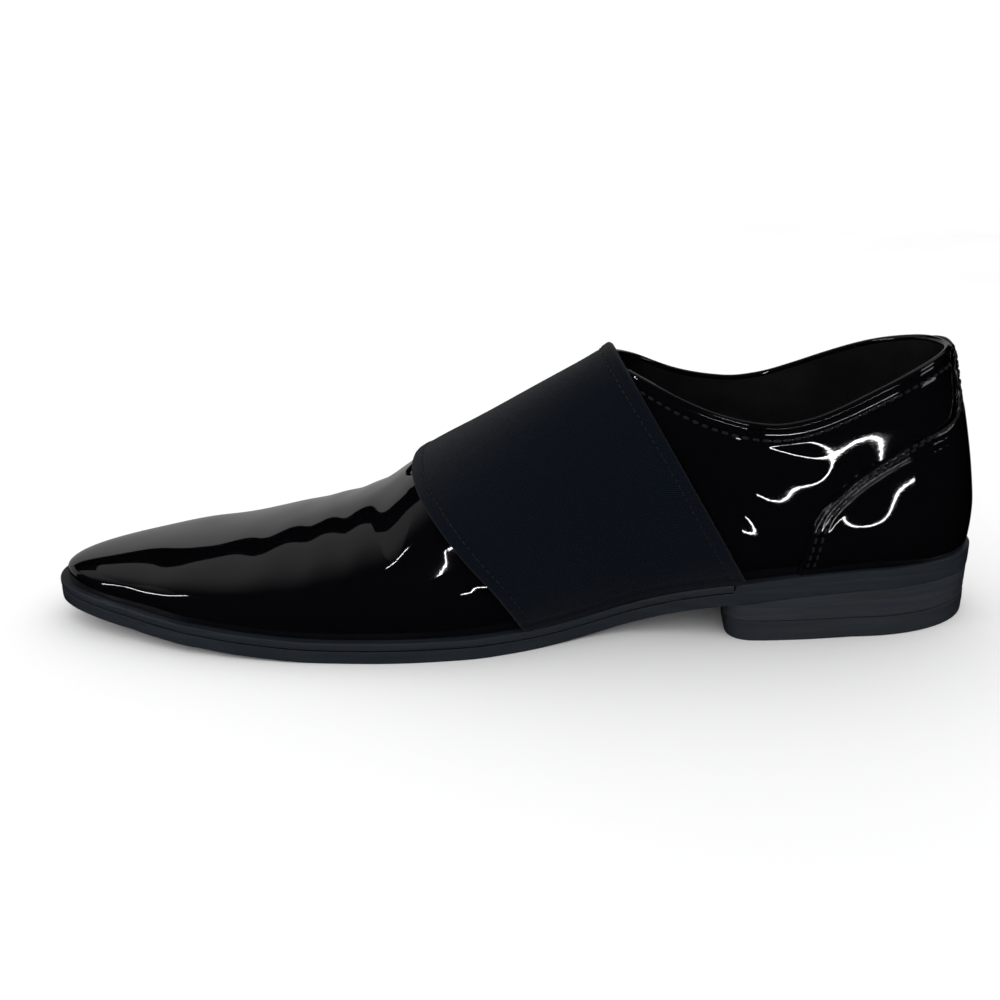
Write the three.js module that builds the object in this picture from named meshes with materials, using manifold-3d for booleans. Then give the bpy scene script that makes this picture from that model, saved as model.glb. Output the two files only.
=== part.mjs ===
// Slip-on dress shoe for the right foot: a plain-toe upper, a wide elastic instep band and a stacked heel.
// Millimetres. X runs from the back of the heel to the toe, Y to the inner side of the foot, Z up.
import * as THREE from 'three';
import { mergeVertices } from 'three/addons/utils/BufferGeometryUtils.js';
import Module from 'manifold-3d';

const wasm = await Module();
wasm.setup();

// Lengths and widths of the sole, seen from above
const SOLE_LENGTH = 298;
const BALL_WIDTH = 100;
const WAIST_WIDTH = 62;
const HEEL_WIDTH = 62;
const TOE_WIDTH = 78;
const TOE_OFFSET = 3;
const HEEL_ROUND = 1.96;
const BREAST_AT = 82.5;
const BREAST_TURN = 7.5;
const BREAST_LEAN = 9;
const BREAST_CORNER = 8;
const LIFT_INSET = 0.4;

// Heights
const TOP_PIECE_THICKNESS = 6.6;
const LIFT_THICKNESS = 9.1;
const SOLE_THICKNESS = 6.6;
const WELT_THICKNESS = 2.4;
const TOE_SPRING = 7.4;
const INSTEP_HEIGHT = 84.6;
const TOE_HEIGHT = 25;
const BACK_HEIGHT = 87.2;
const SIDE_HEIGHT = 68;

// Walls, clearances and small widths
const GAP = 0.3;
const WALL = 2;
const BAND_THICKNESS = 1.6;
const COUNTER_THICKNESS = 0.9;
const COUNTER_STEP = 0.7;
const TONGUE_THICKNESS = 1.4;
const INSOLE_THICKNESS = 3;
const WELT_LEDGE = 2.6;
const WELT_WIDTH = 10;

// Instep band, throat and tongue, seen from the side and from above
const BAND_FRONT_TOP = 181;
const BAND_FRONT_SWEEP = 37;
const BAND_REAR_TOP = 117;
const BAND_REAR_SWEEP = 49.8;
const THROAT_REACH = 3;
const THROAT_WIDTH = 24;
const TONGUE_OVERLAP = 9;
const TONGUE_SETBACK = 3;

// Counter and backstay
const COUNTER_REACH = 63;
const BACKSTAY_REACH = 15.5;

// Fineness of the curved forms
const FAN_STATIONS = 12;
const MIDDLE_STATIONS = 16;
const LOWER_STEPS = 4;
const UPPER_STEPS = 8;
const CURVE_STEPS = 22;
const CORNER_STEPS = 8;
const HIGH = 200;
const SKIRT = 6;

const HEEL_AXIS = 0.145 * SOLE_LENGTH;
const TOE_AXIS = 0.832 * SOLE_LENGTH;
const TOE_LENGTH = SOLE_LENGTH - TOE_AXIS;
const FAN = 0.2 * SOLE_LENGTH;
const HEEL_RISE = TOP_PIECE_THICKNESS + LIFT_THICKNESS + 2 * GAP;
const SEAT_HEIGHT = HEEL_RISE + SOLE_THICKNESS;

// A row follows one place on the axis of the shoe, and turn swings it about the axis ends:
// -90 faces straight back, 0 faces sideways and 90 faces straight ahead.
const place = (row) => row.at * SOLE_LENGTH + (row.turn ?? 0) / 90 * FAN;

// Smooth curve through a column of a table, which never overshoots its rows
function column(rows, name, key = place) {
  const x = rows.map(key);
  const y = rows.map((row) => row[name] * (row.of ?? 1));
  const slope = x.slice(1).map((end, i) => (y[i + 1] - y[i]) / (end - x[i]));
  const tangent = x.map((_, i) => {
    if (i === 0) return slope[0];
    if (i === x.length - 1) return slope[i - 1];
    if (slope[i - 1] * slope[i] <= 0) return 0;
    return 2 * slope[i - 1] * slope[i] / (slope[i - 1] + slope[i]);
  });
  return (at) => {
    const held = Math.min(Math.max(at, x[0]), x[x.length - 1]);
    const i = Math.min(Math.max(x.findIndex((end) => end >= held) - 1, 0), x.length - 2);
    const span = x[i + 1] - x[i];
    const t = (held - x[i]) / span;
    const start = (1 + 2 * t) * (1 - t) ** 2 * y[i] + t * (1 - t) ** 2 * span * tangent[i];
    return start + t * t * (3 - 2 * t) * y[i + 1] + t * t * (t - 1) * span * tangent[i + 1];
  };
}

// Underside of the sole along the shoe: the heel seat, the arch, the flat tread and the toe spring
const SOLE_LINE = [
  { at: 0.00, rise: 1.00, spring: 0 },
  { at: 0.08, rise: 0.99, spring: 0 },
  { at: 0.19, rise: 0.91, spring: 0 },
  { at: 0.265, rise: 0.76, spring: 0 },
  { at: 0.305, rise: 0.63, spring: 0 },
  { at: 0.345, rise: 0.44, spring: 0 },
  { at: 0.387, rise: 0.22, spring: 0 },
  { at: 0.427, rise: 0.06, spring: 0 },
  { at: 0.475, rise: 0, spring: 0 },
  { at: 0.68, rise: 0, spring: 0 },
  { at: 0.76, rise: 0, spring: 0.12 },
  { at: 0.85, rise: 0, spring: 0.38 },
  { at: 0.92, rise: 0, spring: 0.66 },
  { at: 1.00, rise: 0, spring: 1 },
];
const along = (row) => row.at * SOLE_LENGTH;
const rise = column(SOLE_LINE, 'rise', along);
const spring = column(SOLE_LINE, 'spring', along);
const soleBottom = (x) => rise(x) * HEEL_RISE + spring(x) * TOE_SPRING;
const soleTop = (x) => soleBottom(x) + SOLE_THICKNESS;

// Reach of the sole edge from the axis to the inner and the outer side, as far as the tip of the toe
const SOLE_EDGE = [
  { at: 0.145, of: HEEL_WIDTH, inner: 0.475, outer: 0.485 },
  { at: 0.205, of: HEEL_WIDTH, inner: 0.505, outer: 0.51 },
  { at: 0.255, of: HEEL_WIDTH, inner: 0.515, outer: 0.525 },
  { at: 0.305, of: WAIST_WIDTH, inner: 0.485, outer: 0.54 },
  { at: 0.345, of: WAIST_WIDTH, inner: 0.45, outer: 0.565 },
  { at: 0.38, of: WAIST_WIDTH, inner: 0.437, outer: 0.597 },
  { at: 0.413, of: WAIST_WIDTH, inner: 0.46, outer: 0.645 },
  { at: 0.453, of: BALL_WIDTH, inner: 0.331, outer: 0.44 },
  { at: 0.497, of: BALL_WIDTH, inner: 0.387, outer: 0.48 },
  { at: 0.55, of: BALL_WIDTH, inner: 0.432, outer: 0.52 },
  { at: 0.627, of: BALL_WIDTH, inner: 0.453, outer: 0.543 },
  { at: 0.705, of: BALL_WIDTH, inner: 0.446, outer: 0.525 },
  { at: 0.78, of: BALL_WIDTH, inner: 0.416, outer: 0.465 },
  { at: 0.832, of: TOE_WIDTH, inner: 0.485, outer: 0.52 },
];
const TOE_EDGE = [
  { turn: 20, of: TOE_WIDTH, inner: 0.418, outer: 0.524 },
  { turn: 35, of: TOE_WIDTH, inner: 0.424, outer: 0.512 },
  { turn: 47, of: TOE_WIDTH, inner: 0.456, outer: 0.518 },
  { turn: 59, of: TOE_LENGTH, inner: 0.788, outer: 0.845 },
  { turn: 71, of: TOE_LENGTH, inner: 0.90, outer: 0.905 },
  { turn: 80, of: TOE_LENGTH, inner: 0.975, outer: 0.96 },
  { turn: 90, of: TOE_LENGTH, inner: 1, outer: 1 },
].map((row) => ({ ...row, at: TOE_AXIS / SOLE_LENGTH }));
const CENTRE_LINE = [
  { at: 0.145, of: TOE_OFFSET, y: 0 },
  { at: 0.60, of: TOE_OFFSET, y: 0 },
  { at: 0.832, of: TOE_OFFSET, y: 1 },
];
const centreLine = column(CENTRE_LINE, 'y');
const reachTo = (side, sign) => {
  const rows = SOLE_EDGE.map((row) => ({
    at: row.at,
    reach: row[side] * row.of - sign * centreLine(row.at * SOLE_LENGTH),
  }));
  const toe = TOE_EDGE.map((row) => ({ at: row.at, turn: row.turn, reach: row[side] * row.of }));
  return column([...rows, ...toe], 'reach');
};
const soleReach = { inner: reachTo('inner', 1), outer: reachTo('outer', -1) };

// Sections of the upper from the back of the heel to the toe, as shares:
// ledge of WELT_LEDGE, swell of the feather's reach, belly of the height from feather to top,
// gather of the widest reach. Shoulder, crown and dip shape the curve from the widest point to the top.
const UPPER_SECTIONS = [
  {
    at: 0.145, turn: -90, ledge: 0.95, swell: 1.012, belly: 0.16,
    of: INSTEP_HEIGHT, top: 1.14, gather: 0.60, shoulder: 0.16, crown: 0.40, dip: 0.38,
  },
  {
    at: 0.145, turn: -45, ledge: 1.05, swell: 1.04, belly: 0.18,
    of: INSTEP_HEIGHT, top: 1.14, gather: 0.72, shoulder: 0.2, crown: 0.42, dip: 0.35,
  },
  {
    at: 0.145, turn: 0, ledge: 1.15, swell: 1.12, belly: 0.2,
    of: INSTEP_HEIGHT, top: 1.14, gather: 0.86, shoulder: 0.3, crown: 0.4, dip: 0.33,
  },
  {
    at: 0.20, turn: 0, ledge: 1.1, swell: 1.17, belly: 0.2,
    of: INSTEP_HEIGHT, top: 1.14, gather: 0.89, shoulder: 0.32, crown: 0.4, dip: 0.33,
  },
  {
    at: 0.265, turn: 0, ledge: 1.15, swell: 1.2, belly: 0.2,
    of: INSTEP_HEIGHT, top: 1.14, gather: 0.84, shoulder: 0.36, crown: 0.45, dip: 0.32,
  },
  {
    at: 0.315, turn: 0, ledge: 1.2, swell: 1.22, belly: 0.2,
    of: INSTEP_HEIGHT, top: 1.14, gather: 0.62, shoulder: 0.42, crown: 0.5, dip: 0.25,
  },
  {
    at: 0.355, turn: 0, ledge: 1.25, swell: 1.2, belly: 0.2,
    of: INSTEP_HEIGHT, top: 1.1, gather: 0.34, shoulder: 0.5, crown: 0.6, dip: 0.1,
  },
  {
    at: 0.3926, turn: 0, ledge: 1.25, swell: 1.17, belly: 0.2,
    of: INSTEP_HEIGHT, top: 1, gather: 0, shoulder: 0.52, crown: 0.62, dip: 0,
  },
  {
    at: 0.447, turn: 0, ledge: 1.2, swell: 1.13, belly: 0.2,
    of: INSTEP_HEIGHT, top: 0.8896, gather: 0, shoulder: 0.5, crown: 0.58, dip: 0,
  },
  {
    at: 0.527, turn: 0, ledge: 1.1, swell: 1.06, belly: 0.21,
    of: INSTEP_HEIGHT, top: 0.7281, gather: 0, shoulder: 0.5, crown: 0.54, dip: 0,
  },
  {
    at: 0.607, turn: 0, ledge: 1, swell: 1.03, belly: 0.24,
    of: INSTEP_HEIGHT, top: 0.5667, gather: 0, shoulder: 0.5, crown: 0.5, dip: 0,
  },
  {
    at: 0.63, turn: 0, ledge: 1, swell: 1.025, belly: 0.25,
    of: TOE_HEIGHT, top: 1.665, gather: 0, shoulder: 0.5, crown: 0.48, dip: 0,
  },
  {
    at: 0.655, turn: 0, ledge: 1, swell: 1.025, belly: 0.26,
    of: TOE_HEIGHT, top: 1.51, gather: 0, shoulder: 0.5, crown: 0.47, dip: 0,
  },
  {
    at: 0.69, turn: 0, ledge: 1, swell: 1.025, belly: 0.28,
    of: TOE_HEIGHT, top: 1.35, gather: 0, shoulder: 0.5, crown: 0.46, dip: 0,
  },
  {
    at: 0.76, turn: 0, ledge: 1, swell: 1.02, belly: 0.3,
    of: TOE_HEIGHT, top: 1.15, gather: 0, shoulder: 0.52, crown: 0.48, dip: 0,
  },
  {
    at: 0.832, turn: 0, ledge: 1, swell: 1.02, belly: 0.3,
    of: TOE_HEIGHT, top: 1, gather: 0, shoulder: 0.55, crown: 0.52, dip: 0,
  },
  {
    at: 0.832, turn: 45, ledge: 1, swell: 1.01, belly: 0.3,
    of: TOE_HEIGHT, top: 1, gather: 0, shoulder: 0.52, crown: 0.54, dip: 0.3,
  },
  {
    at: 0.832, turn: 90, ledge: 1, swell: 1.0, belly: 0.26,
    of: TOE_HEIGHT, top: 1, gather: 0, shoulder: 0.48, crown: 0.55, dip: 0.45,
  },
];
const section = Object.fromEntries(
  ['ledge', 'swell', 'belly', 'gather', 'shoulder', 'crown', 'dip'].map((name) => {
    const rows = UPPER_SECTIONS.map((row) => ({ ...row, of: 1 }));
    return [name, column(rows, name)];
  }),
);
section.top = column(UPPER_SECTIONS, 'top');
const ridgeAt = (x) => section.top(x);

// One station of the shoe: where it stands on the axis, which way it faces and how far the sole reaches
const BACK_END = HEEL_AXIS - FAN;
const TOE_END = TOE_AXIS + FAN;
function station(p, side) {
  const sign = side === 'inner' ? 1 : -1;
  const x = Math.min(Math.max(p, HEEL_AXIS), TOE_AXIS);
  const turn = (p - x) / FAN * Math.PI / 2;
  const back = Math.max(-Math.sin(turn), 0) / HEEL_AXIS;
  const across = Math.max(Math.cos(turn), 0) / soleReach[side](HEEL_AXIS);
  const heelReach = (back ** HEEL_ROUND + across ** HEEL_ROUND) ** (-1 / HEEL_ROUND);
  const reach = p < HEEL_AXIS ? heelReach : soleReach[side](p);
  return { x, y: centreLine(x), dirX: Math.sin(turn), dirY: sign * Math.cos(turn), reach };
}
const STATIONS = 2 * FAN_STATIONS + MIDDLE_STATIONS;
function stationPlace(i) {
  if (i < FAN_STATIONS) return BACK_END + FAN * i / FAN_STATIONS;
  const ahead = i - FAN_STATIONS - MIDDLE_STATIONS;
  if (ahead > 0) return TOE_AXIS + FAN * ahead / FAN_STATIONS;
  return HEEL_AXIS + (TOE_AXIS - HEEL_AXIS) * (i - FAN_STATIONS) / MIDDLE_STATIONS;
}

// Handles of the short curve from the feather line out to the widest point
const FEATHER_FLARE = 0.6;
const FEATHER_RISE = 0.3;
const BELLY_FALL = 0.4;

const bezier = (a, b, c, d, t) =>
  (1 - t) ** 3 * a + 3 * t * (1 - t) ** 2 * b + 3 * t * t * (1 - t) * c + t ** 3 * d;

// Points of one section of the upper's outer face, from under the feather line to the top
function sectionPoints(p, side) {
  const here = station(p, side);
  const feather = here.reach - section.ledge(p) * WELT_LEDGE;
  const floor = soleTop(here.x + here.dirX * feather);
  const top = section.top(p);
  const widest = feather * section.swell(p);
  const belly = floor + section.belly(p) * (top - floor);
  const end = section.gather(p) * widest;
  const point = (r, z) => new THREE.Vector3(here.x + here.dirX * r, here.y + here.dirY * r, z);
  const points = [point(feather, floor - SKIRT)];
  for (let j = 0; j < LOWER_STEPS; j++) {
    const t = j / LOWER_STEPS;
    const lift = belly - floor;
    const r = bezier(feather, feather + FEATHER_FLARE * (widest - feather), widest, widest, t);
    const z = bezier(floor, floor + FEATHER_RISE * lift, belly - BELLY_FALL * lift, belly, t);
    points.push(point(r, z));
  }
  const lift = top - belly;
  const rise1 = belly + section.shoulder(p) * lift;
  const reach2 = end + section.crown(p) * (widest - end);
  const rise2 = top - section.dip(p) * lift;
  for (let j = 0; j <= UPPER_STEPS; j++) {
    const t = j / UPPER_STEPS;
    points.push(point(bezier(widest, widest, reach2, end, t), bezier(belly, rise1, rise2, top, t)));
  }
  return points;
}

// Adds two triangles between four corners given in order
function addQuad(list, a, b, c, d) {
  list.push(a, b, c, a, c, d);
}

// Closed form of the last at a distance outside (or, below zero, inside) the upper's outer face
function lastSolid(offset) {
  const columns = [];
  for (let i = 0; i <= STATIONS; i++) columns.push(sectionPoints(stationPlace(i), 'inner'));
  for (let i = STATIONS; i >= 0; i--) columns.push(sectionPoints(stationPlace(i), 'outer'));
  const count = columns.length;
  const rows = columns[0].length;
  const normals = new Map();
  const keyOf = (v) => `${v.x.toFixed(4)},${v.y.toFixed(4)},${v.z.toFixed(4)}`;
  const triangles = [];
  for (let i = 0; i < count; i++) {
    const next = columns[(i + 1) % count];
    for (let j = 0; j + 1 < rows; j++) {
      addQuad(triangles, columns[i][j], columns[i][j + 1], next[j + 1], next[j]);
    }
  }
  const face = new THREE.Triangle();
  const faceNormal = new THREE.Vector3();
  for (let k = 0; k < triangles.length; k += 3) {
    const corners = triangles.slice(k, k + 3);
    face.set(...corners);
    if (face.getArea() < 1e-6) continue;
    face.getNormal(faceNormal).multiplyScalar(face.getArea());
    for (const corner of corners) {
      const sum = normals.get(keyOf(corner)) ?? new THREE.Vector3();
      normals.set(keyOf(corner), sum.add(faceNormal));
    }
  }
  const moved = columns.map((points) => points.map((v) => {
    const normal = normals.get(keyOf(v)).clone().normalize();
    return v.clone().addScaledVector(normal, offset);
  }));
  const closed = [];
  for (let i = 0; i < count; i++) {
    const next = moved[(i + 1) % count];
    for (let j = 0; j + 1 < rows; j++) addQuad(closed, moved[i][j], moved[i][j + 1], next[j + 1], next[j]);
  }
  for (let i = 0; i < STATIONS; i++) {
    const inner = moved[i];
    const innerNext = moved[i + 1];
    const outer = moved[count - 1 - i];
    const outerNext = moved[count - 2 - i];
    addQuad(closed, inner[rows - 1], outer[rows - 1], outerNext[rows - 1], innerNext[rows - 1]);
    addQuad(closed, inner[0], innerNext[0], outerNext[0], outer[0]);
  }
  return solidFromTriangles(closed);
}

// Manifold solid from a list of corners, three to a triangle
function solidFromTriangles(corners) {
  const geometry = new THREE.BufferGeometry().setFromPoints(corners);
  return solidFromGeometry(geometry);
}

function solidFromGeometry(geometry) {
  const bare = geometry.index ? geometry.toNonIndexed() : geometry.clone();
  bare.deleteAttribute('normal');
  bare.deleteAttribute('uv');
  const merged = mergeVertices(bare, 1e-4);
  const index = merged.index.array;
  const kept = [];
  for (let k = 0; k < index.length; k += 3) {
    const [a, b, c] = [index[k], index[k + 1], index[k + 2]];
    if (a !== b && b !== c && c !== a) kept.push(a, b, c);
  }
  const mesh = new wasm.Mesh({
    numProp: 3,
    vertProperties: new Float32Array(merged.attributes.position.array),
    triVerts: new Uint32Array(kept),
  });
  return new wasm.Manifold(mesh);
}

function geometryFromSolid(solid) {
  const mesh = solid.getMesh();
  const geometry = new THREE.BufferGeometry();
  geometry.setAttribute('position', new THREE.BufferAttribute(new Float32Array(mesh.vertProperties), 3));
  geometry.setIndex(Array.from(mesh.triVerts));
  geometry.computeVertexNormals();
  return geometry;
}

// Prism of a side view: points are (x, z) and the prism runs right across the shoe
function sidePrism(points) {
  const shape = new THREE.Shape(points.map(([x, z]) => new THREE.Vector2(x, z)));
  const geometry = new THREE.ExtrudeGeometry(shape, { depth: 2 * HIGH, bevelEnabled: false });
  geometry.rotateX(Math.PI / 2);
  geometry.translate(0, HIGH, 0);
  return solidFromGeometry(geometry);
}

// Prism of a plan view: points are (x, y) and the prism runs between two heights
function planPrism(points, low = -HIGH / 2, high = HIGH) {
  const shape = new THREE.Shape(points.map(([x, y]) => new THREE.Vector2(x, y)));
  const geometry = new THREE.ExtrudeGeometry(shape, { depth: high - low, bevelEnabled: false });
  geometry.translate(0, 0, low);
  return solidFromGeometry(geometry);
}

// Plan outline of the sole, moved inwards by an inset
function soleOutline(inset) {
  const points = [];
  const add = (p, side) => {
    const here = station(p, side);
    points.push([here.x + here.dirX * (here.reach - inset), here.y + here.dirY * (here.reach - inset)]);
  };
  for (let i = 0; i < STATIONS; i++) add(stationPlace(i), 'outer');
  for (let i = STATIONS; i > 0; i--) add(stationPlace(i), 'inner');
  return points;
}

// Slab between two curves of x, which reaches past both ends of the shoe
function soleSlab(lowAt, highAt) {
  const step = SOLE_LENGTH / (2 * CURVE_STEPS);
  const xs = [-HIGH / 4];
  for (let i = 0; i <= 2 * CURVE_STEPS; i++) xs.push(i * step);
  xs.push(SOLE_LENGTH + HIGH / 4);
  const low = xs.map((x) => [x, lowAt(x)]);
  const high = xs.map((x) => [x, highAt(x)]).reverse();
  return sidePrism([...low, ...high]);
}

// Heights of the collar edge, seen from the side, above its lowest place
const BACK_DROP = BACK_HEIGHT - SIDE_HEIGHT;
const FRONT_DROP = INSTEP_HEIGHT - SIDE_HEIGHT;
const COLLAR_EDGE = [
  { at: 0.00, of: BACK_DROP, height: 1.0 },
  { at: 0.045, of: BACK_DROP, height: 0.98 },
  { at: 0.077, of: BACK_DROP, height: 0.86 },
  { at: 0.104, of: BACK_DROP, height: 0.725 },
  { at: 0.145, of: BACK_DROP, height: 0.475 },
  { at: 0.18, of: BACK_DROP, height: 0.25 },
  { at: 0.214, of: BACK_DROP, height: 0.075 },
  { at: 0.248, of: BACK_DROP, height: 0 },
  { at: 0.276, of: FRONT_DROP, height: 0.045 },
  { at: 0.307, of: FRONT_DROP, height: 0.16 },
  { at: 0.336, of: FRONT_DROP, height: 0.345 },
  { at: 0.366, of: FRONT_DROP, height: 0.59 },
  { at: 0.393, of: FRONT_DROP, height: 0.81 },
  { at: 0.416, of: FRONT_DROP, height: 0.99 },
];
const collarLift = column(COLLAR_EDGE, 'height', along);

// Everything over the collar edge, raised by a step
function aboveCollar(step) {
  const last = COLLAR_EDGE[COLLAR_EDGE.length - 1].at * SOLE_LENGTH;
  const points = [[-HIGH / 4, SIDE_HEIGHT + collarLift(0) + step]];
  for (let i = 0; i <= CURVE_STEPS; i++) {
    const x = last * i / CURVE_STEPS;
    points.push([x, SIDE_HEIGHT + collarLift(x) + step]);
  }
  points.push([last, 2 * HIGH], [-HIGH / 4, 2 * HIGH]);
  return sidePrism(points);
}

// Edges of the band seen from the side: how far each runs back, as a share of its sweep,
// for each share of the way down from the ridge to the floor
const BAND_EDGE = [
  { drop: -1.00, front: -1.20, rear: -1.00 },
  { drop: 0.00, front: 0.00, rear: 0.00 },
  { drop: 0.20, front: 0.265, rear: 0.20 },
  { drop: 0.39, front: 0.492, rear: 0.39 },
  { drop: 0.57, front: 0.692, rear: 0.57 },
  { drop: 0.80, front: 0.880, rear: 0.80 },
  { drop: 1.00, front: 1.00, rear: 1.00 },
];
const dropOf = (row) => row.drop;
const frontSweep = column(BAND_EDGE, 'front', dropOf);
const rearSweep = column(BAND_EDGE, 'rear', dropOf);

function bandEdge(topX, sweepOf, sweep, move) {
  const points = [];
  for (let i = 0; i <= CURVE_STEPS; i++) {
    const drop = 1 - 2 * i / CURVE_STEPS;
    points.push([topX - sweepOf(drop) * sweep + move, ridgeAt(topX) * (1 - drop)]);
  }
  return points;
}
const rearEdge = (move) => bandEdge(BAND_REAR_TOP, rearSweep, BAND_REAR_SWEEP, move);
const frontEdge = (move) => bandEdge(BAND_FRONT_TOP, frontSweep, BAND_FRONT_SWEEP, move);

// Slot of the throat, seen from above: straight sides and a round front end
function throatPlan(margin, reach) {
  const radius = THROAT_WIDTH / 2 + margin;
  const front = BAND_FRONT_TOP + reach;
  const shape = [[BAND_REAR_TOP - HIGH / 4, -radius]];
  for (let i = 0; i <= CORNER_STEPS; i++) {
    const angle = -Math.PI / 2 + Math.PI * i / CORNER_STEPS;
    shape.push([front - radius + radius * Math.cos(angle), radius * Math.sin(angle)]);
  }
  shape.push([BAND_REAR_TOP - HIGH / 4, radius]);
  return planPrism(shape, INSTEP_HEIGHT / 3, 2 * HIGH);
}

// Front edge of the counter, seen from the side: a narrow backstay that sweeps forward to the sole
const COUNTER_EDGE = [
  { of: BACKSTAY_REACH, reach: 1.32, height: 1.1 },
  { of: BACKSTAY_REACH, reach: 1.12, height: 0.94 },
  { of: BACKSTAY_REACH, reach: 1.01, height: 0.85 },
  { of: BACKSTAY_REACH, reach: 1.03, height: 0.785 },
  { of: BACKSTAY_REACH, reach: 1.22, height: 0.74 },
  { of: COUNTER_REACH, reach: 0.41, height: 0.722 },
  { of: COUNTER_REACH, reach: 0.53, height: 0.698 },
  { of: COUNTER_REACH, reach: 0.69, height: 0.64 },
  { of: COUNTER_REACH, reach: 0.85, height: 0.555 },
  { of: COUNTER_REACH, reach: 0.945, height: 0.48 },
  { of: COUNTER_REACH, reach: 0.985, height: 0.39 },
  { of: COUNTER_REACH, reach: 1.0, height: 0.27 },
  { of: COUNTER_REACH, reach: 0.99, height: 0.0 },
];
function counterSide() {
  const corner = (row) => new THREE.Vector2(row.reach * row.of, row.height * BACK_HEIGHT);
  const corners = COUNTER_EDGE.map(corner);
  const curve = new THREE.SplineCurve(corners);
  const points = curve.getPoints(CURVE_STEPS).map((v) => [v.x, v.y]);
  return sidePrism([...points, [-HIGH / 4, 0], [-HIGH / 4, points[0][1]]]);
}

// Plan outline of the heel: the sole outline as far as the breast, with a round inner front corner
function heelPlan(inset) {
  const slant = Math.tan(BREAST_TURN * Math.PI / 180);
  const behind = ([x, y]) => x < BREAST_AT + slant * y;
  const points = soleOutline(inset).filter(behind);
  const outerStart = points.findIndex(([, y]) => y > 0);
  const outer = points.slice(0, outerStart).filter(([, y]) => y < 0);
  const inner = points.filter(([, y]) => y >= 0);
  const outerY = outer[outer.length - 1][1];
  const innerY = inner[0][1];
  const breast = (y) => [BREAST_AT + slant * y, y];
  const corner = breast(innerY);
  const rounded = [];
  for (let i = 0; i <= CORNER_STEPS; i++) {
    const t = i / CORNER_STEPS;
    const from = breast(innerY - BREAST_CORNER);
    const to = [corner[0] - BREAST_CORNER, innerY];
    rounded.push([0, 1].map((k) => (1 - t) ** 2 * from[k] + 2 * t * (1 - t) * corner[k] + t * t * to[k]));
  }
  const clear = inner.filter(([x]) => x < corner[0] - BREAST_CORNER - 1);
  return [...outer, breast(outerY), ...rounded, ...clear];
}

// Prism of the heel whose breast leans forward as it rises
function heelPrism(inset) {
  const shape = new THREE.Shape(heelPlan(inset).map(([x, y]) => new THREE.Vector2(x, y)));
  const geometry = new THREE.ExtrudeGeometry(shape, { depth: SEAT_HEIGHT, bevelEnabled: false, steps: 1 });
  const position = geometry.attributes.position;
  const lean = Math.tan(BREAST_LEAN * Math.PI / 180);
  for (let i = 0; i < position.count; i++) {
    const share = Math.max(position.getX(i) - HEEL_AXIS, 0) / (BREAST_AT - HEEL_AXIS);
    position.setX(i, position.getX(i) + share * lean * (position.getZ(i) - HEEL_RISE));
  }
  return solidFromGeometry(geometry);
}

function makeUpper() {
  const shell = lastSolid(0).subtract(lastSolid(-WALL));
  const body = shell.intersect(soleSlab((x) => soleTop(x) + GAP, () => HIGH));
  return body.subtract(aboveCollar(0)).subtract(throatPlan(0, THROAT_REACH));
}

function makeBand() {
  const skin = lastSolid(GAP + BAND_THICKNESS).subtract(lastSolid(GAP));
  const side = sidePrism([...rearEdge(0), ...frontEdge(0).reverse()]);
  return skin.intersect(side).intersect(soleSlab((x) => soleTop(x) + GAP, () => HIGH));
}

function makeCounter() {
  const skin = lastSolid(GAP + COUNTER_THICKNESS).subtract(lastSolid(GAP));
  const body = skin.intersect(counterSide()).intersect(soleSlab((x) => soleTop(x) + GAP, () => HIGH));
  return body.subtract(aboveCollar(COUNTER_STEP));
}

function makeTongue() {
  const outside = -WALL - GAP;
  const skin = lastSolid(outside).subtract(lastSolid(outside - TONGUE_THICKNESS));
  const plan = throatPlan(TONGUE_OVERLAP, THROAT_REACH + TONGUE_OVERLAP);
  const far = SOLE_LENGTH + HIGH;
  const ahead = sidePrism([...rearEdge(TONGUE_SETBACK), [far, HIGH], [far, 0]]);
  return skin.intersect(plan).intersect(ahead);
}

function makeInsole() {
  const base = (x) => soleTop(x) + GAP;
  return lastSolid(-WALL - GAP).intersect(soleSlab(base, (x) => base(x) + INSOLE_THICKNESS));
}

const soleBody = planPrism(soleOutline(0));
const soleCore = planPrism(soleOutline(WELT_WIDTH));
const weltSeat = (x) => soleTop(x) - WELT_THICKNESS;
const weltSpan = sidePrism([
  [BREAST_AT, -HIGH / 4],
  [2 * SOLE_LENGTH, -HIGH / 4],
  [2 * SOLE_LENGTH, HIGH],
  [BREAST_AT, HIGH],
]);

function makeWelt() {
  const ring = soleBody.subtract(soleCore).intersect(soleSlab(weltSeat, soleTop));
  return ring.intersect(weltSpan);
}

function makeOutsole() {
  const plate = soleBody.intersect(soleSlab(soleBottom, soleTop));
  const rim = planPrism(soleOutline(-SKIRT)).subtract(planPrism(soleOutline(WELT_WIDTH + GAP)));
  const above = soleSlab((x) => weltSeat(x) - GAP, () => HIGH);
  const rebate = rim.intersect(above).intersect(weltSpan.translate([-GAP, 0, 0]));
  return plate.subtract(rebate);
}

function makeHeelLift() {
  const seat = soleSlab(() => TOP_PIECE_THICKNESS + GAP, () => HIGH);
  const above = soleSlab((x) => soleBottom(x) - GAP, () => HIGH);
  return heelPrism(LIFT_INSET).intersect(seat).subtract(above);
}

function makeTopPiece() {
  return heelPrism(0).intersect(soleSlab(() => 0, () => TOP_PIECE_THICKNESS));
}

const finish = (color, roughness, metalness = 0) =>
  new THREE.MeshStandardMaterial({ color, roughness, metalness });

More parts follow.
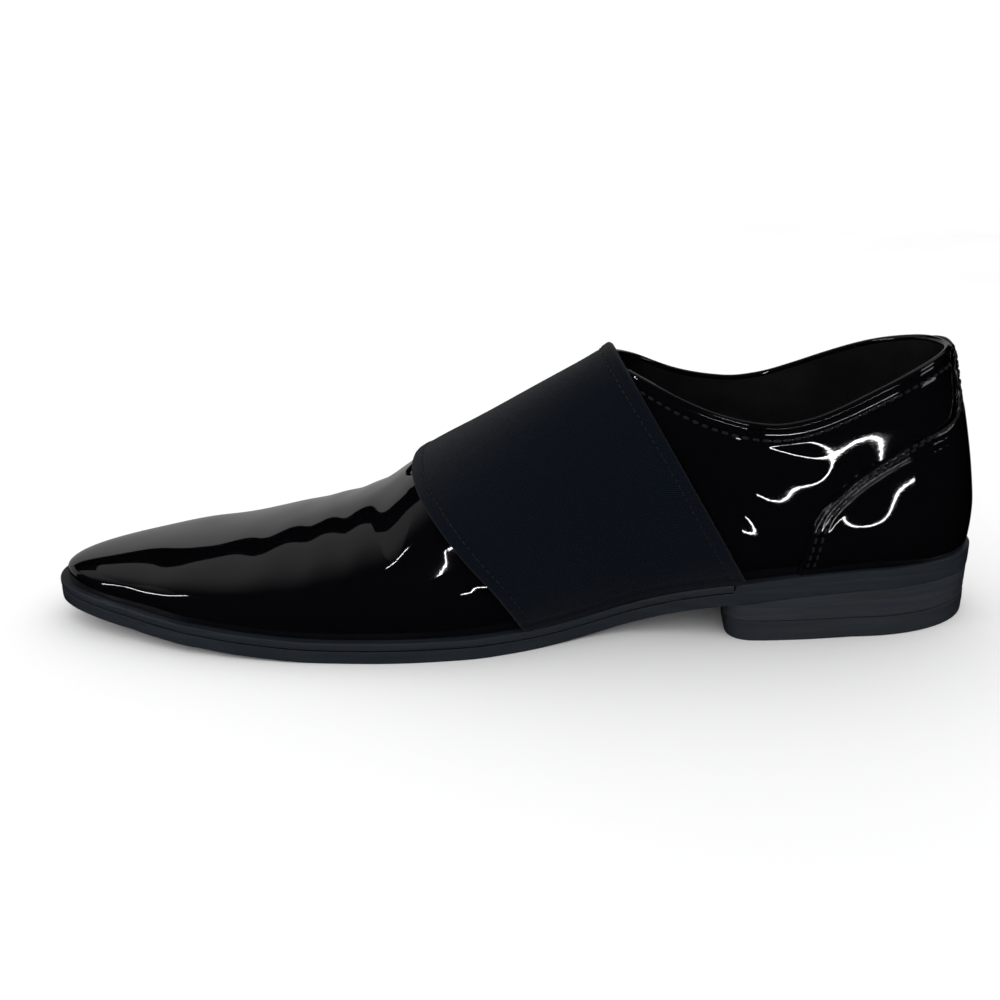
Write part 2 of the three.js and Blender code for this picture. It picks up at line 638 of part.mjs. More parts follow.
const shoe = new THREE.Group();
const pieces = [
  ['upper', makeUpper(), finish(0x0b0c0f, 0.08)],
  ['heel_counter', makeCounter(), finish(0x0b0c0f, 0.08)],
  ['instep_band', makeBand(), finish(0x16181d, 0.9)],
  ['tongue', makeTongue(), finish(0x0b0c0f, 0.12)],
  ['insole', makeInsole(), finish(0x17171a, 0.7)],
  ['welt', makeWelt(), finish(0x1a1b1e, 0.45)],
  ['outsole', makeOutsole(), finish(0x18191c, 0.5)],
  ['heel_lift', makeHeelLift(), finish(0x19191b, 0.45)],
  ['heel_top_piece', makeTopPiece(), finish(0x141415, 0.6)],
];
for (const [name, solid, material] of pieces) {
  const mesh = new THREE.Mesh(geometryFromSolid(solid), material);
  mesh.name = name;
  shoe.add(mesh);
}

// The origin is at the middle of the shoe's box, on the floor
const box = new THREE.Box3().setFromObject(shoe);
shoe.position.set(-(box.min.x + box.max.x) / 2, -(box.min.y + box.max.y) / 2, -box.min.z);
shoe.updateMatrixWorld(true);

export default shoe;
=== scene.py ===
"""Looks of a right slip-on dress shoe: patent upper, elastic instep band, welted sole and stacked heel.

Every surface is a function of two parameters on a grid, worked out with numpy in millimetres with X from
the back of the heel to the toe and Y to the inner side, and put into the frame in metres when its mesh is
made.
"""

import math

import bmesh
import bpy
import numpy as np
from mathutils import Matrix, Vector


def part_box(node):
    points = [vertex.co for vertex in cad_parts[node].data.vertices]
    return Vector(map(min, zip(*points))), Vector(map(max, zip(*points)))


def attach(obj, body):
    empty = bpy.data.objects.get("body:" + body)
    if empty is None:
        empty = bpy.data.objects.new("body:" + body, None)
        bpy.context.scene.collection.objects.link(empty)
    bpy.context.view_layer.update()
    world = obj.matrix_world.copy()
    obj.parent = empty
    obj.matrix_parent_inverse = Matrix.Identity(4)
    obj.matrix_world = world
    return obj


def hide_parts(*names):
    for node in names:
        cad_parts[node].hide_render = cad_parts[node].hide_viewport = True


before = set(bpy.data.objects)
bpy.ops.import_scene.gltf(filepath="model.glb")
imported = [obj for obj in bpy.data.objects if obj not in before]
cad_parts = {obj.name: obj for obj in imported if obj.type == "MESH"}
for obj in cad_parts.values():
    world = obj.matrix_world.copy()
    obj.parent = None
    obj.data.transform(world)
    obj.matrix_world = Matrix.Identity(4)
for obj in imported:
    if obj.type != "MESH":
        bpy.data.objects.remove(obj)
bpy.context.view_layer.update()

MM = 0.001

# Sizes of the sole
SOLE_LENGTH = 298.0
BALL_WIDTH = 100.0
WAIST_WIDTH = 62.0
HEEL_WIDTH = 62.0
TOE_WIDTH = 78.0
TOE_OFFSET = 3.0
HEEL_ROUND = 1.96
BREAST_AT = 82.5
BREAST_TURN = math.radians(7.5)
BREAST_LEAN = math.radians(9)
BREAST_CORNER = 8.0

# Heights
TOP_PIECE_THICKNESS = 6.6
LIFT_THICKNESS = 9.1
SOLE_THICKNESS = 6.6
WELT_THICKNESS = 2.4
TOE_SPRING = 7.4
INSTEP_HEIGHT = 84.6
TOE_HEIGHT = 25.0
BACK_HEIGHT = 87.2
SIDE_HEIGHT = 68.0

# Walls, clearances and small widths
GAP = 0.3
WALL = 2.0
LEATHER = 1.1
BAND_THICKNESS = 1.6
COUNTER_THICKNESS = 0.9
COUNTER_STEP = 0.7
TONGUE_THICKNESS = 1.4
INSOLE_THICKNESS = 3.0
WELT_LEDGE = 2.6
WELT_WIDTH = 10.0
BAND_FRONT_TOP = 181.0
BAND_FRONT_SWEEP = 37.0
BAND_REAR_TOP = 117.0
BAND_REAR_SWEEP = 49.8
THROAT_REACH = 3.0
THROAT_TAIL = 25.0
THROAT_FRONT = BAND_FRONT_TOP + THROAT_REACH
THROAT_REAR = BAND_REAR_TOP - THROAT_TAIL
THROAT_HALF = 12.0
TONGUE_OVERLAP = 9.0
TONGUE_SETBACK = 3.0
COUNTER_REACH = 63.0
BACKSTAY_REACH = 15.5

HEEL_AXIS = 0.145 * SOLE_LENGTH
TOE_AXIS = 0.832 * SOLE_LENGTH
TOE_LENGTH = SOLE_LENGTH - TOE_AXIS
FAN = 0.2 * SOLE_LENGTH
HEEL_RISE = TOP_PIECE_THICKNESS + LIFT_THICKNESS + 2 * GAP
BACK_END = HEEL_AXIS - FAN
HALF_LOOP = TOE_AXIS + FAN - BACK_END


def table(columns, *rows):
    """Rows of a table, each with its values under the names of the columns."""
    return [dict(zip(columns.split(), row)) for row in rows]


SOLE_LINE = table(
    "at rise spring",
    (0.00, 1.00, 0), (0.08, 0.99, 0), (0.19, 0.91, 0), (0.265, 0.76, 0), (0.305, 0.63, 0),
    (0.345, 0.44, 0), (0.387, 0.22, 0), (0.427, 0.06, 0), (0.475, 0, 0), (0.68, 0, 0), (0.76, 0, 0.12),
    (0.85, 0, 0.38), (0.92, 0, 0.66), (1.00, 0, 1),
)
SOLE_EDGE = table(
    "at of inner outer",
    (0.145, HEEL_WIDTH, 0.475, 0.485), (0.205, HEEL_WIDTH, 0.505, 0.51),
    (0.255, HEEL_WIDTH, 0.515, 0.525), (0.305, WAIST_WIDTH, 0.485, 0.54),
    (0.345, WAIST_WIDTH, 0.45, 0.565), (0.38, WAIST_WIDTH, 0.437, 0.597),
    (0.413, WAIST_WIDTH, 0.46, 0.645), (0.453, BALL_WIDTH, 0.331, 0.44),
    (0.497, BALL_WIDTH, 0.387, 0.48), (0.55, BALL_WIDTH, 0.432, 0.52),
    (0.627, BALL_WIDTH, 0.453, 0.543), (0.705, BALL_WIDTH, 0.446, 0.525),
    (0.78, BALL_WIDTH, 0.416, 0.465), (0.832, TOE_WIDTH, 0.485, 0.52),
)
TOE_EDGE = table(
    "at turn of inner outer",
    (0.832, 20, TOE_WIDTH, 0.418, 0.524), (0.832, 35, TOE_WIDTH, 0.424, 0.512),
    (0.832, 47, TOE_WIDTH, 0.456, 0.518), (0.832, 59, TOE_LENGTH, 0.788, 0.845),
    (0.832, 71, TOE_LENGTH, 0.90, 0.905), (0.832, 80, TOE_LENGTH, 0.975, 0.96),
    (0.832, 90, TOE_LENGTH, 1, 1),
)
CENTRE_LINE = table(
    "at of y",
    (0.145, TOE_OFFSET, 0), (0.60, TOE_OFFSET, 0), (0.832, TOE_OFFSET, 1),
)
SECTIONS = table(
    "at turn ledge swell belly top gather shoulder crown dip",
    (0.145, -90, 0.95, 1.012, 0.16, 1.14 * INSTEP_HEIGHT, 0.60, 0.16, 0.40, 0.38),
    (0.145, -45, 1.05, 1.04, 0.18, 1.14 * INSTEP_HEIGHT, 0.72, 0.20, 0.42, 0.35),
    (0.145, 0, 1.15, 1.12, 0.20, 1.14 * INSTEP_HEIGHT, 0.86, 0.30, 0.40, 0.33),
    (0.20, 0, 1.10, 1.17, 0.20, 1.14 * INSTEP_HEIGHT, 0.89, 0.32, 0.40, 0.33),
    (0.265, 0, 1.15, 1.20, 0.20, 1.14 * INSTEP_HEIGHT, 0.84, 0.36, 0.45, 0.32),
    (0.315, 0, 1.20, 1.22, 0.20, 1.14 * INSTEP_HEIGHT, 0.62, 0.42, 0.50, 0.25),
    (0.355, 0, 1.25, 1.20, 0.20, 1.10 * INSTEP_HEIGHT, 0.34, 0.50, 0.60, 0.10),
    (0.3926, 0, 1.25, 1.17, 0.20, INSTEP_HEIGHT, 0, 0.52, 0.62, 0),
    (0.447, 0, 1.20, 1.13, 0.20, 0.8896 * INSTEP_HEIGHT, 0, 0.50, 0.58, 0),
    (0.527, 0, 1.10, 1.06, 0.21, 0.7281 * INSTEP_HEIGHT, 0, 0.50, 0.54, 0),
    (0.607, 0, 1.00, 1.03, 0.24, 0.5667 * INSTEP_HEIGHT, 0, 0.50, 0.50, 0),
    (0.63, 0, 1.00, 1.025, 0.25, 1.665 * TOE_HEIGHT, 0, 0.50, 0.48, 0),
    (0.655, 0, 1.00, 1.025, 0.26, 1.51 * TOE_HEIGHT, 0, 0.50, 0.47, 0),
    (0.69, 0, 1.00, 1.025, 0.28, 1.35 * TOE_HEIGHT, 0, 0.50, 0.46, 0),
    (0.76, 0, 1.00, 1.02, 0.30, 1.15 * TOE_HEIGHT, 0, 0.52, 0.48, 0),
    (0.832, 0, 1.00, 1.02, 0.30, TOE_HEIGHT, 0, 0.55, 0.52, 0),
    (0.832, 45, 1.00, 1.01, 0.30, TOE_HEIGHT, 0, 0.52, 0.54, 0.30),
    (0.832, 90, 1.00, 1.00, 0.26, TOE_HEIGHT, 0, 0.48, 0.55, 0.45),
)
BACK_DROP = BACK_HEIGHT - SIDE_HEIGHT
FRONT_DROP = INSTEP_HEIGHT - SIDE_HEIGHT
COLLAR_EDGE = table(
    "at of height",
    (0.00, BACK_DROP, 1.0), (0.045, BACK_DROP, 0.98), (0.077, BACK_DROP, 0.86),
    (0.104, BACK_DROP, 0.725), (0.145, BACK_DROP, 0.475), (0.18, BACK_DROP, 0.25),
    (0.214, BACK_DROP, 0.075), (0.248, BACK_DROP, 0), (0.276, FRONT_DROP, 0.045),
    (0.307, FRONT_DROP, 0.16), (0.336, FRONT_DROP, 0.345), (0.366, FRONT_DROP, 0.59),
    (0.393, FRONT_DROP, 0.81), (0.416, FRONT_DROP, 0.99),
)
COLLAR_END = 0.416 * SOLE_LENGTH
BAND_EDGE = table(
    "drop front rear",
    (-1.00, -1.20, -1.00), (0.00, 0.00, 0.00), (0.20, 0.265, 0.20), (0.39, 0.492, 0.39),
    (0.57, 0.692, 0.57), (0.80, 0.880, 0.80), (1.00, 1.00, 1.00),
)
COUNTER_EDGE = table(
    "of reach height",
    (BACKSTAY_REACH, 1.12, 1.05), (BACKSTAY_REACH, 1.05, 0.90), (BACKSTAY_REACH, 1.01, 0.83),
    (BACKSTAY_REACH, 1.03, 0.785), (BACKSTAY_REACH, 1.22, 0.74), (COUNTER_REACH, 0.41, 0.722),
    (COUNTER_REACH, 0.53, 0.698), (COUNTER_REACH, 0.69, 0.64), (COUNTER_REACH, 0.85, 0.555),
    (COUNTER_REACH, 0.945, 0.48), (COUNTER_REACH, 0.985, 0.39), (COUNTER_REACH, 1.0, 0.27),
    (COUNTER_REACH, 0.995, 0.0),
)


def smooth_step(t):
    """Rises from 0 to 1 along 3 t squared minus 2 t cubed, and stays flat outside."""
    t = np.clip(t, 0, 1)
    return t * t * (3 - 2 * t)


def first_below(values, at):
    """Place where each row of values first falls below zero, read off between two steps."""
    first = np.clip(np.argmax(values < 0, axis=1), 1, len(at) - 1)
    row = np.arange(len(values))
    before, after = values[row, first - 1], values[row, first]
    share = np.clip(before / np.maximum(before - after, 1e-9), 0, 1)
    return at[first - 1] + share * (at[1] - at[0])


def run_along(points, axis=0):
    """Distance run along lines of points, from 0 at their first."""
    step = np.linalg.norm(np.diff(points, axis=axis), axis=-1)
    return np.insert(np.cumsum(step, axis=axis), 0, 0.0, axis=axis)


def read_off(at, run, values):
    """Values at places of a run, for each column of the values."""
    return np.stack([np.interp(at, run, part) for part in values.T], -1)


def curve_through(x, y):
    """Cubic through the points whose slope at each is the harmonic mean of its neighbours' slopes."""
    x = np.asarray(x, float)
    y = np.asarray(y, float)
    slope = np.diff(y) / np.diff(x)
    tangent = np.zeros(len(x))
    tangent[0] = slope[0]
    tangent[-1] = slope[-1]
    product = slope[:-1] * slope[1:]
    total = slope[:-1] + slope[1:]
    tangent[1:-1] = np.where(product > 0, 2 * product / np.where(total == 0, 1, total), 0)

    def value(at):
        held = np.clip(at, x[0], x[-1])
        i = np.clip(np.searchsorted(x, held) - 1, 0, len(x) - 2)
        span = x[i + 1] - x[i]
        t = (held - x[i]) / span
        start = (1 + 2 * t) * (1 - t) ** 2 * y[i] + t * (1 - t) ** 2 * span * tangent[i]
        return start + t * t * (3 - 2 * t) * y[i + 1] + t * t * (t - 1) * span * tangent[i + 1]

    return value


def place(row):
    """Station of a table's row: its place on the axis, plus its turn round the end of the axis."""
    return row["at"] * SOLE_LENGTH + row.get("turn", 0) / 90 * FAN


def column(rows, name, key=place):
    """Curve through one column of a table, in millimetres where the row says of what it is a share."""
    return curve_through([key(row) for row in rows], [row[name] * row.get("of", 1) for row in rows])


sole_rise = column(SOLE_LINE, "rise")
sole_spring = column(SOLE_LINE, "spring")
centre_line = column(CENTRE_LINE, "y")
collar_lift = column(COLLAR_EDGE, "height")


def blur_along(curve, width):
    """Average of a curve over nearby places, weighted by a bell of the given width."""
    steps = np.linspace(-2.4, 2.4, 13)
    weights = np.exp(-steps**2 / 2)
    weights /= weights.sum()
    return lambda at: sum(w * curve(at + s * width) for w, s in zip(weights, steps))


sole_line = blur_along(lambda x: sole_rise(x) * HEEL_RISE + sole_spring(x) * TOE_SPRING, 2.0)
collar_line = blur_along(lambda x: SIDE_HEIGHT + collar_lift(x), 2.0)


def sole_top(x):
    """Height of the sole's upper face."""
    return sole_line(x) + SOLE_THICKNESS


# The loop runs round the shoe: from the back along the inner side to the toe, and along the outer side back
LOOP_POINTS = 4096
LOOP_BLUR = 3.0
loop_grid = np.arange(LOOP_POINTS) * 2 * HALF_LOOP / LOOP_POINTS


def station_of(q):
    """Station and side (1 inner, -1 outer) of a place on the loop."""
    q = np.mod(q, 2 * HALF_LOOP)
    side = np.where(q <= HALF_LOOP, 1.0, -1.0)
    return BACK_END + np.where(side > 0, q, 2 * HALF_LOOP - q), side


def loop_at(p, side):
    """Place on the loop of a station on one side."""
    return np.where(side > 0, p - BACK_END, 2 * HALF_LOOP - (p - BACK_END))


def plan(q, reach):
    """Plan place at a reach from the axis, which the loop turns round at both of its ends."""
    p, side = station_of(q)
    x = np.clip(p, HEEL_AXIS, TOE_AXIS)
    turn = (p - x) / FAN * np.pi / 2
    return x + np.sin(turn) * reach, centre_line(x) + side * np.cos(turn) * reach


def bell_of(width):
    """Weight that a bell of the given width along the loop leaves to each number of turns."""
    turns = np.fft.rfftfreq(LOOP_POINTS, 2 * HALF_LOOP / LOOP_POINTS)
    return np.exp(-2 * (np.pi * width * turns) ** 2)


def loop_curve(values, blur=LOOP_BLUR):
    """Values round the loop, blurred by a bell and read off at any place between."""
    values = np.fft.irfft(np.fft.rfft(values) * bell_of(blur), LOOP_POINTS)
    grid = np.append(loop_grid, 2 * HALF_LOOP)
    closed = np.append(values, values[0])
    return lambda q: np.interp(np.mod(q, 2 * HALF_LOOP), grid, closed)


def reach_values():
    """Reach of the sole edge from the axis round the loop: a rounded heel, then both sides' tables."""
    p, side = station_of(loop_grid)
    reach = np.zeros(LOOP_POINTS)
    for name, sign in (("inner", 1), ("outer", -1)):
        rows = [
            dict(at=row["at"], reach=row[name] * row["of"] - sign * centre_line(place(row)))
            for row in SOLE_EDGE
        ]
        rows += [dict(at=row["at"], turn=row["turn"], reach=row[name] * row["of"]) for row in TOE_EDGE]
        curve = column(rows, "reach")
        turn = np.minimum(p - HEEL_AXIS, 0) / FAN * np.pi / 2
        back = np.maximum(-np.sin(turn), 0) / HEEL_AXIS
        across = np.maximum(np.cos(turn), 0) / curve(HEEL_AXIS)
        heel = (back**HEEL_ROUND + across**HEEL_ROUND) ** (-1 / HEEL_ROUND)
        mine = side == sign
        reach[mine] = np.where(p < HEEL_AXIS, heel, curve(p))[mine]
    return reach


sole_reach = loop_curve(reach_values(), 2.0)
loop_stations = station_of(loop_grid)[0]
section = {name: loop_curve(column(SECTIONS, name)(loop_stations)) for name in list(SECTIONS[0])[2:]}


def bezier(a, b, c, d, t):
    """Cubic curve between a and d with handles b and c."""
    return (1 - t) ** 3 * a + 3 * t * (1 - t) ** 2 * b + 3 * t * t * (1 - t) * c + t**3 * d


FEATHER_FLARE = 0.6
FEATHER_RISE = 0.3
BELLY_FALL = 0.4
CONTROL_BLUR = 5.0


def control_points():
    """Seven control points of every section round the loop: feather, widest place and top, with handles.

    They are blurred along the loop by twice a bell less the bell of the bell, which keeps the size, and the
    top points by the bell alone.
    """
    q = loop_grid
    feather = sole_reach(q) - section["ledge"](q) * WELT_LEDGE
    floor = sole_top(plan(q, feather)[0])
    top = section["top"](q)
    widest = feather * section["swell"](q)
    belly = floor + section["belly"](q) * (top - floor)
    gather = section["gather"](q)
    end = np.where(gather < 0.004, 0, gather) * widest
    rise, lift = belly - floor, top - belly
    flared = feather + FEATHER_FLARE * (widest - feather)
    r = np.stack([feather, flared, widest, widest, widest, end + section["crown"](q) * (widest - end), end])
    low = [floor, floor + FEATHER_RISE * rise, belly - BELLY_FALL * rise, belly]
    z = np.stack([*low, belly + section["shoulder"](q) * lift, top - section["dip"](q) * lift, top])
    points = np.stack([*plan(q, r), z], -1)
    bell = bell_of(CONTROL_BLUR)
    kernel = np.stack([2 * bell - bell**2] * 6 + [bell])[..., None]
    return np.fft.irfft(np.fft.rfft(points, axis=1) * kernel, LOOP_POINTS, axis=1)


CONTROL = control_points()
TOE_PATCH = 28.0
TOE_PATCH_CORE = 9.0
TOE_PATCH_DEGREE = 5


def section_point(q, v):
    """Point on a section: two cubic curves, from the feather to the widest place and on to the top."""
    step = np.mod(np.asarray(q, float), 2 * HALF_LOOP) * LOOP_POINTS / (2 * HALF_LOOP)
    before = np.floor(step).astype(int)
    share = (step - before)[..., None]
    before = before % LOOP_POINTS
    control = [c[before] * (1 - share) + c[(before + 1) % LOOP_POINTS] * share for c in CONTROL]
    v = np.asarray(v, float)[..., None]
    lower = bezier(*control[:4], np.clip(v, 0, 1))
    upper = bezier(*control[3:], np.clip(v - 1, 0, 1))
    return np.where(v < 1, lower, upper)


def patch_terms(x, y):
    """Powers of the place on the toe patch, up to the fifth together."""
    u, w = (x - TOE_AXIS) / TOE_PATCH, (y - TOE_OFFSET) / TOE_PATCH
    degree = TOE_PATCH_DEGREE
    return np.stack([u**i * w**j for i in range(degree + 1) for j in range(degree + 1 - i)], -1)


def fit_toe_patch():
    """Smooth height over the place where the toe's sections meet: least squares over even areas."""
    q = np.linspace(0, 2 * HALF_LOOP, 2400, endpoint=False)
    point = section_point(q[:, None], np.linspace(1.05, 2, 160)[None, :]).reshape(-1, 3)
    away = np.hypot(point[:, 0] - TOE_AXIS, point[:, 1] - TOE_OFFSET)
    near = away < TOE_PATCH
    weight = np.sqrt(np.clip(away[near], 0.5, None))
    terms = patch_terms(point[near, 0], point[near, 1])
    return np.linalg.lstsq(terms * weight[:, None], point[near, 2] * weight, rcond=None)[0]


toe_patch = fit_toe_patch()


def last_point(q, v):
    """Point on the last: v runs from 0 at the feather line by 1 at the widest place to 2 at the top.

    Round the toe's meeting point the height changes over to the smooth patch.
    """
    point = section_point(q, v)
    away = np.hypot(point[..., 0] - TOE_AXIS, point[..., 1] - TOE_OFFSET)
    near = (away < TOE_PATCH) & (point[..., 2] > TOE_HEIGHT / 2)
    height = patch_terms(point[near, 0], point[near, 1]) @ toe_patch
    blend = smooth_step((TOE_PATCH - away[near]) / (TOE_PATCH - TOE_PATCH_CORE))
    point[near, 2] += blend * (height - point[near, 2])
    return point


STEP_ROUND = 0.5
STEP_UP = 0.015


def raw_normal(q, v):
    """Outward direction square to the last: the cross product of short steps up it and round it."""
    q, v = np.broadcast_arrays(np.asarray(q, float), np.asarray(v, float))
    held = np.minimum(v, 2 - STEP_UP)
    across = last_point(q + STEP_ROUND, held) - last_point(q - STEP_ROUND, held)
    up = last_point(q, np.minimum(v + STEP_UP, 2)) - last_point(q, np.maximum(v - STEP_UP, 0))
    normal = np.cross(up, across)
    return normal / np.maximum(np.linalg.norm(normal, axis=-1, keepdims=True), 1e-9)


def toe_normal():
    """Direction square to the toe patch at its middle."""
    step = np.array([STEP_ROUND, -STEP_ROUND, 0, 0])
    height = patch_terms(TOE_AXIS + step, TOE_OFFSET + step[::-1]) @ toe_patch
    normal = np.array([height[1] - height[0], height[2] - height[3], 2 * STEP_ROUND])
    return normal / np.linalg.norm(normal)


TOE_NORMAL = toe_normal()


def last_normal(q, v):
    """Outward direction, one for both sides of the top line and for all sections at the toe's middle."""
    q, v = np.broadcast_arrays(np.asarray(q, float), np.asarray(v, float))
    normal = raw_normal(q, v)
    ridge = v > 1.999
    if ridge.any():
        both = normal[ridge] + raw_normal(2 * HALF_LOOP - q[ridge], v[ridge])
        normal[ridge] = both / np.linalg.norm(both, axis=-1, keepdims=True)
        meeting = ridge & (station_of(q)[0] > TOE_AXIS - 4)
        normal[meeting] = TOE_NORMAL
    return normal


def ridge_at(x):
    """Height of the top line of the last."""
    return section["top"](x - BACK_END)


def band_edge(name, top, sweep):
    """Place along the shoe of one edge of the band, as a function of the height."""
    share = column(BAND_EDGE, name, lambda row: row["drop"])
    return lambda z: top - share(1 - z / ridge_at(top)) * sweep


front_edge = band_edge("front", BAND_FRONT_TOP, BAND_FRONT_SWEEP)
rear_edge = band_edge("rear", BAND_REAR_TOP, BAND_REAR_SWEEP)


# Walking creases and slack of the leather. x with y or z says where the middle lies, turn its direction
# from straight across, reach and width its half sizes, and depth how far the leather sinks, or swells if it
# is below zero
VAMP_CREASES = table(
    "x y turn reach width depth",
    (192, 24, -14, 14, 4.6, 0.28), (204, 23, -8, 20, 4.4, 0.28), (216, 20, -2, 18, 5.0, 0.20),
    (231, 16, 8, 16, 5.6, 0.12), (190, -28, 16, 14, 4.6, 0.26), (202, -27, 8, 19, 4.6, 0.28),
    (215, -22, 0, 18, 5.2, 0.18),
)
SIDE_CREASES = table(
    "x z turn reach width depth",
    (95, 52, 62, 13, 3.6, 0.30), (80, 42, 40, 14, 4.0, 0.25), (70, 60, 16, 11, 3.6, 0.22),
)
SIDE_DENTS = table(
    "x z length height depth",
    (48, 49, 6.5, 5.5, 0.60), (42, 33, 9.0, 7.0, -0.85), (62, 53, 6.5, 8.5, 0.34),
    (84, 56, 7.0, 7.5, 0.34), (72, 33, 9.0, 6.0, 0.35),
)
RIPPLES = 9
RIPPLE_DEPTH = 0.06
FOREPART_CALM = 0.92
OUTER_SHIFT = 5
BAND_CLEAR = 4.0
FOREPART_AT = 150
rng = np.random.default_rng(7)
ripple_waves = rng.normal(0, 1, (RIPPLES, 3))
ripple_waves *= (2 * np.pi / rng.uniform(16, 38, (RIPPLES, 1))) / np.linalg.norm(
    ripple_waves, axis=1, keepdims=True
)
ripple_phases = rng.uniform(0, 2 * np.pi, RIPPLES)


def fold(ahead, aside, crease):
    """A turned trough with a soft ridge on each side: one minus the square, times a bell both ways."""
    turn = math.radians(crease["turn"])
    u = (aside * math.cos(turn) + ahead * math.sin(turn)) / crease["reach"]
    w = (ahead * math.cos(turn) - aside * math.sin(turn)) / crease["width"]
    return -crease["depth"] * (1 - w * w) * np.exp(-w * w / 2) * np.exp(-(u**4))


def relief(point):
    """How far the leather stands out of the last: its creases and a slight slackness of added waves."""
    x, y, z = point[..., 0], point[..., 1], point[..., 2]
    height = np.zeros(x.shape)
    for crease in VAMP_CREASES:
        height += fold(x - crease["x"], y - crease["y"], crease)
    for crease in SIDE_CREASES:
        height += fold(z - crease["z"], x - crease["x"], crease)
    for dent in SIDE_DENTS:
        along_side = (x - dent["x"] - np.where(y < 0, OUTER_SHIFT, 0)) / dent["length"]
        height -= dent["depth"] * np.exp(-(along_side**2 + ((z - dent["z"]) / dent["height"]) ** 2) / 2)
    waves = np.sin(point @ ripple_waves.T + ripple_phases).sum(-1)
    fore = smooth_step((x - FOREPART_AT) / 60)
    height += RIPPLE_DEPTH * waves * (1 - FOREPART_CALM * fore)
    before = smooth_step((x - front_edge(z) - 1) / BAND_CLEAR)
    behind = smooth_step((rear_edge(z) - x - 1) / BAND_CLEAR)
    over_sole = smooth_step((z - sole_top(x)) / 5)
    return height * np.maximum(before, behind) * over_sole


def leather_point(q, v, offset):
    """Point at a distance from the last, with the leather's creases."""
    base = last_point(q, v)
    lift = offset + relief(base)
    return base + last_normal(q, v) * np.asarray(lift)[..., None]


# Meshes

OUTSOLE_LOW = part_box("outsole")[0]


def sole_outline(q, inset=0.0):
    """Plan outline of the sole, moved inwards by an inset."""
    return np.stack(plan(q, sole_reach(q) - inset), -1)


SHIFT = np.array([
    OUTSOLE_LOW.x / MM - sole_outline(loop_grid)[:, 0].min(),
    OUTSOLE_LOW.y / MM - sole_outline(loop_grid)[:, 1].min(),
    OUTSOLE_LOW.z / MM,
])
WELD = 1e-4


def grid_quads(rows, cols, start=0, wrap_rows=False, wrap_cols=False):
    """Faces of a grid of points, row by row, closed on itself where a wrap says so."""
    i = np.arange(rows if wrap_rows else rows - 1)[:, None]
    j = np.arange(cols if wrap_cols else cols - 1)[None, :]
    down, right = (i + 1) % rows, (j + 1) % cols
    quads = np.stack([i * cols + j, i * cols + right, down * cols + right, down * cols + j], -1)
    return start + quads.reshape(-1, 4)


def between(one, other):
    """Faces between two lines of points of the same length."""
    return np.stack([one[:-1], one[1:], other[1:], other[:-1]], 1)


def beside(one, other):
    """Two grids that share their first column, as one grid with the first of them mirrored."""
    return np.concatenate([one[:, ::-1], other[:, 1:]], axis=1)


def rim_quads(rows, cols):
    """Faces that join the four borders of a grid to those of a second grid stored right after it."""
    grid = np.arange(rows * cols).reshape(rows, cols)
    return [between(line, rows * cols + line) for line in (grid[0], grid[-1], grid[:, 0], grid[:, -1])]


def slab(outer, inner):
    """Two grids of points, one above the other, joined along their four borders."""
    rows, cols = outer.shape[:2]
    quads = [grid_quads(rows, cols), grid_quads(rows, cols, rows * cols), *rim_quads(rows, cols)]
    return np.concatenate([outer.reshape(-1, 3), inner.reshape(-1, 3)]), np.concatenate(quads)


def clean_faces(points, quads):
    """Welds points that coincide and drops the faces that this leaves without an area."""
    keys = np.round(points / WELD).astype(np.int64)
    _, first, inverse = np.unique(keys, axis=0, return_index=True, return_inverse=True)
    faces = inverse.reshape(-1)[quads]
    same = faces == np.roll(faces, -1, axis=1)
    whole = faces[~same.any(1)]
    one = faces[same.sum(1) == 1]
    drop = np.argmax(same[same.sum(1) == 1], axis=1)
    keep = (drop[:, None] + 1 + np.arange(3)) % 4
    thirds = np.take_along_axis(one, keep, axis=1)
    return points[first], whole.tolist() + thirds.tolist()


def add_object(name, data):
    """New object of the scene with the given data."""
    item = bpy.data.objects.new(name, data)
    bpy.context.scene.collection.objects.link(item)
    return item


def add_piece(name, surface, material, nodes=(), crisp=None, uv=None):
    """Makes the mesh of one piece in the frame's metres, welded and turned outwards, and fastens it."""
    points, quads = surface
    points = points.reshape(-1, 3)
    mesh = bpy.data.meshes.new(name)
    verts, faces = clean_faces(points, quads)
    mesh.from_pydata((verts + SHIFT) * MM, [], faces)
    body = bmesh.new()
    body.from_mesh(mesh)
    bmesh.ops.recalc_face_normals(body, faces=body.faces)
    body.to_mesh(mesh)
    body.free()
    mesh.polygons.foreach_set("use_smooth", np.ones(len(mesh.polygons), bool))
    if crisp:
        mesh.set_sharp_from_angle(angle=math.radians(crisp))
    if uv is not None:
        layer = mesh.uv_layers.new(name="weave")
        keys = np.round(points / WELD).astype(np.int64)
        _, first = np.unique(keys, axis=0, return_index=True)
        corner = np.zeros(len(mesh.loops), np.int32)
        mesh.loops.foreach_get("vertex_index", corner)
        layer.data.foreach_set("uv", uv.reshape(-1, 2)[first][corner].ravel())
    mesh.materials.append(material)
    piece = add_object(name, mesh)
    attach(piece, "root")
    if nodes:
        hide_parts(*nodes)
    return piece


# Materials

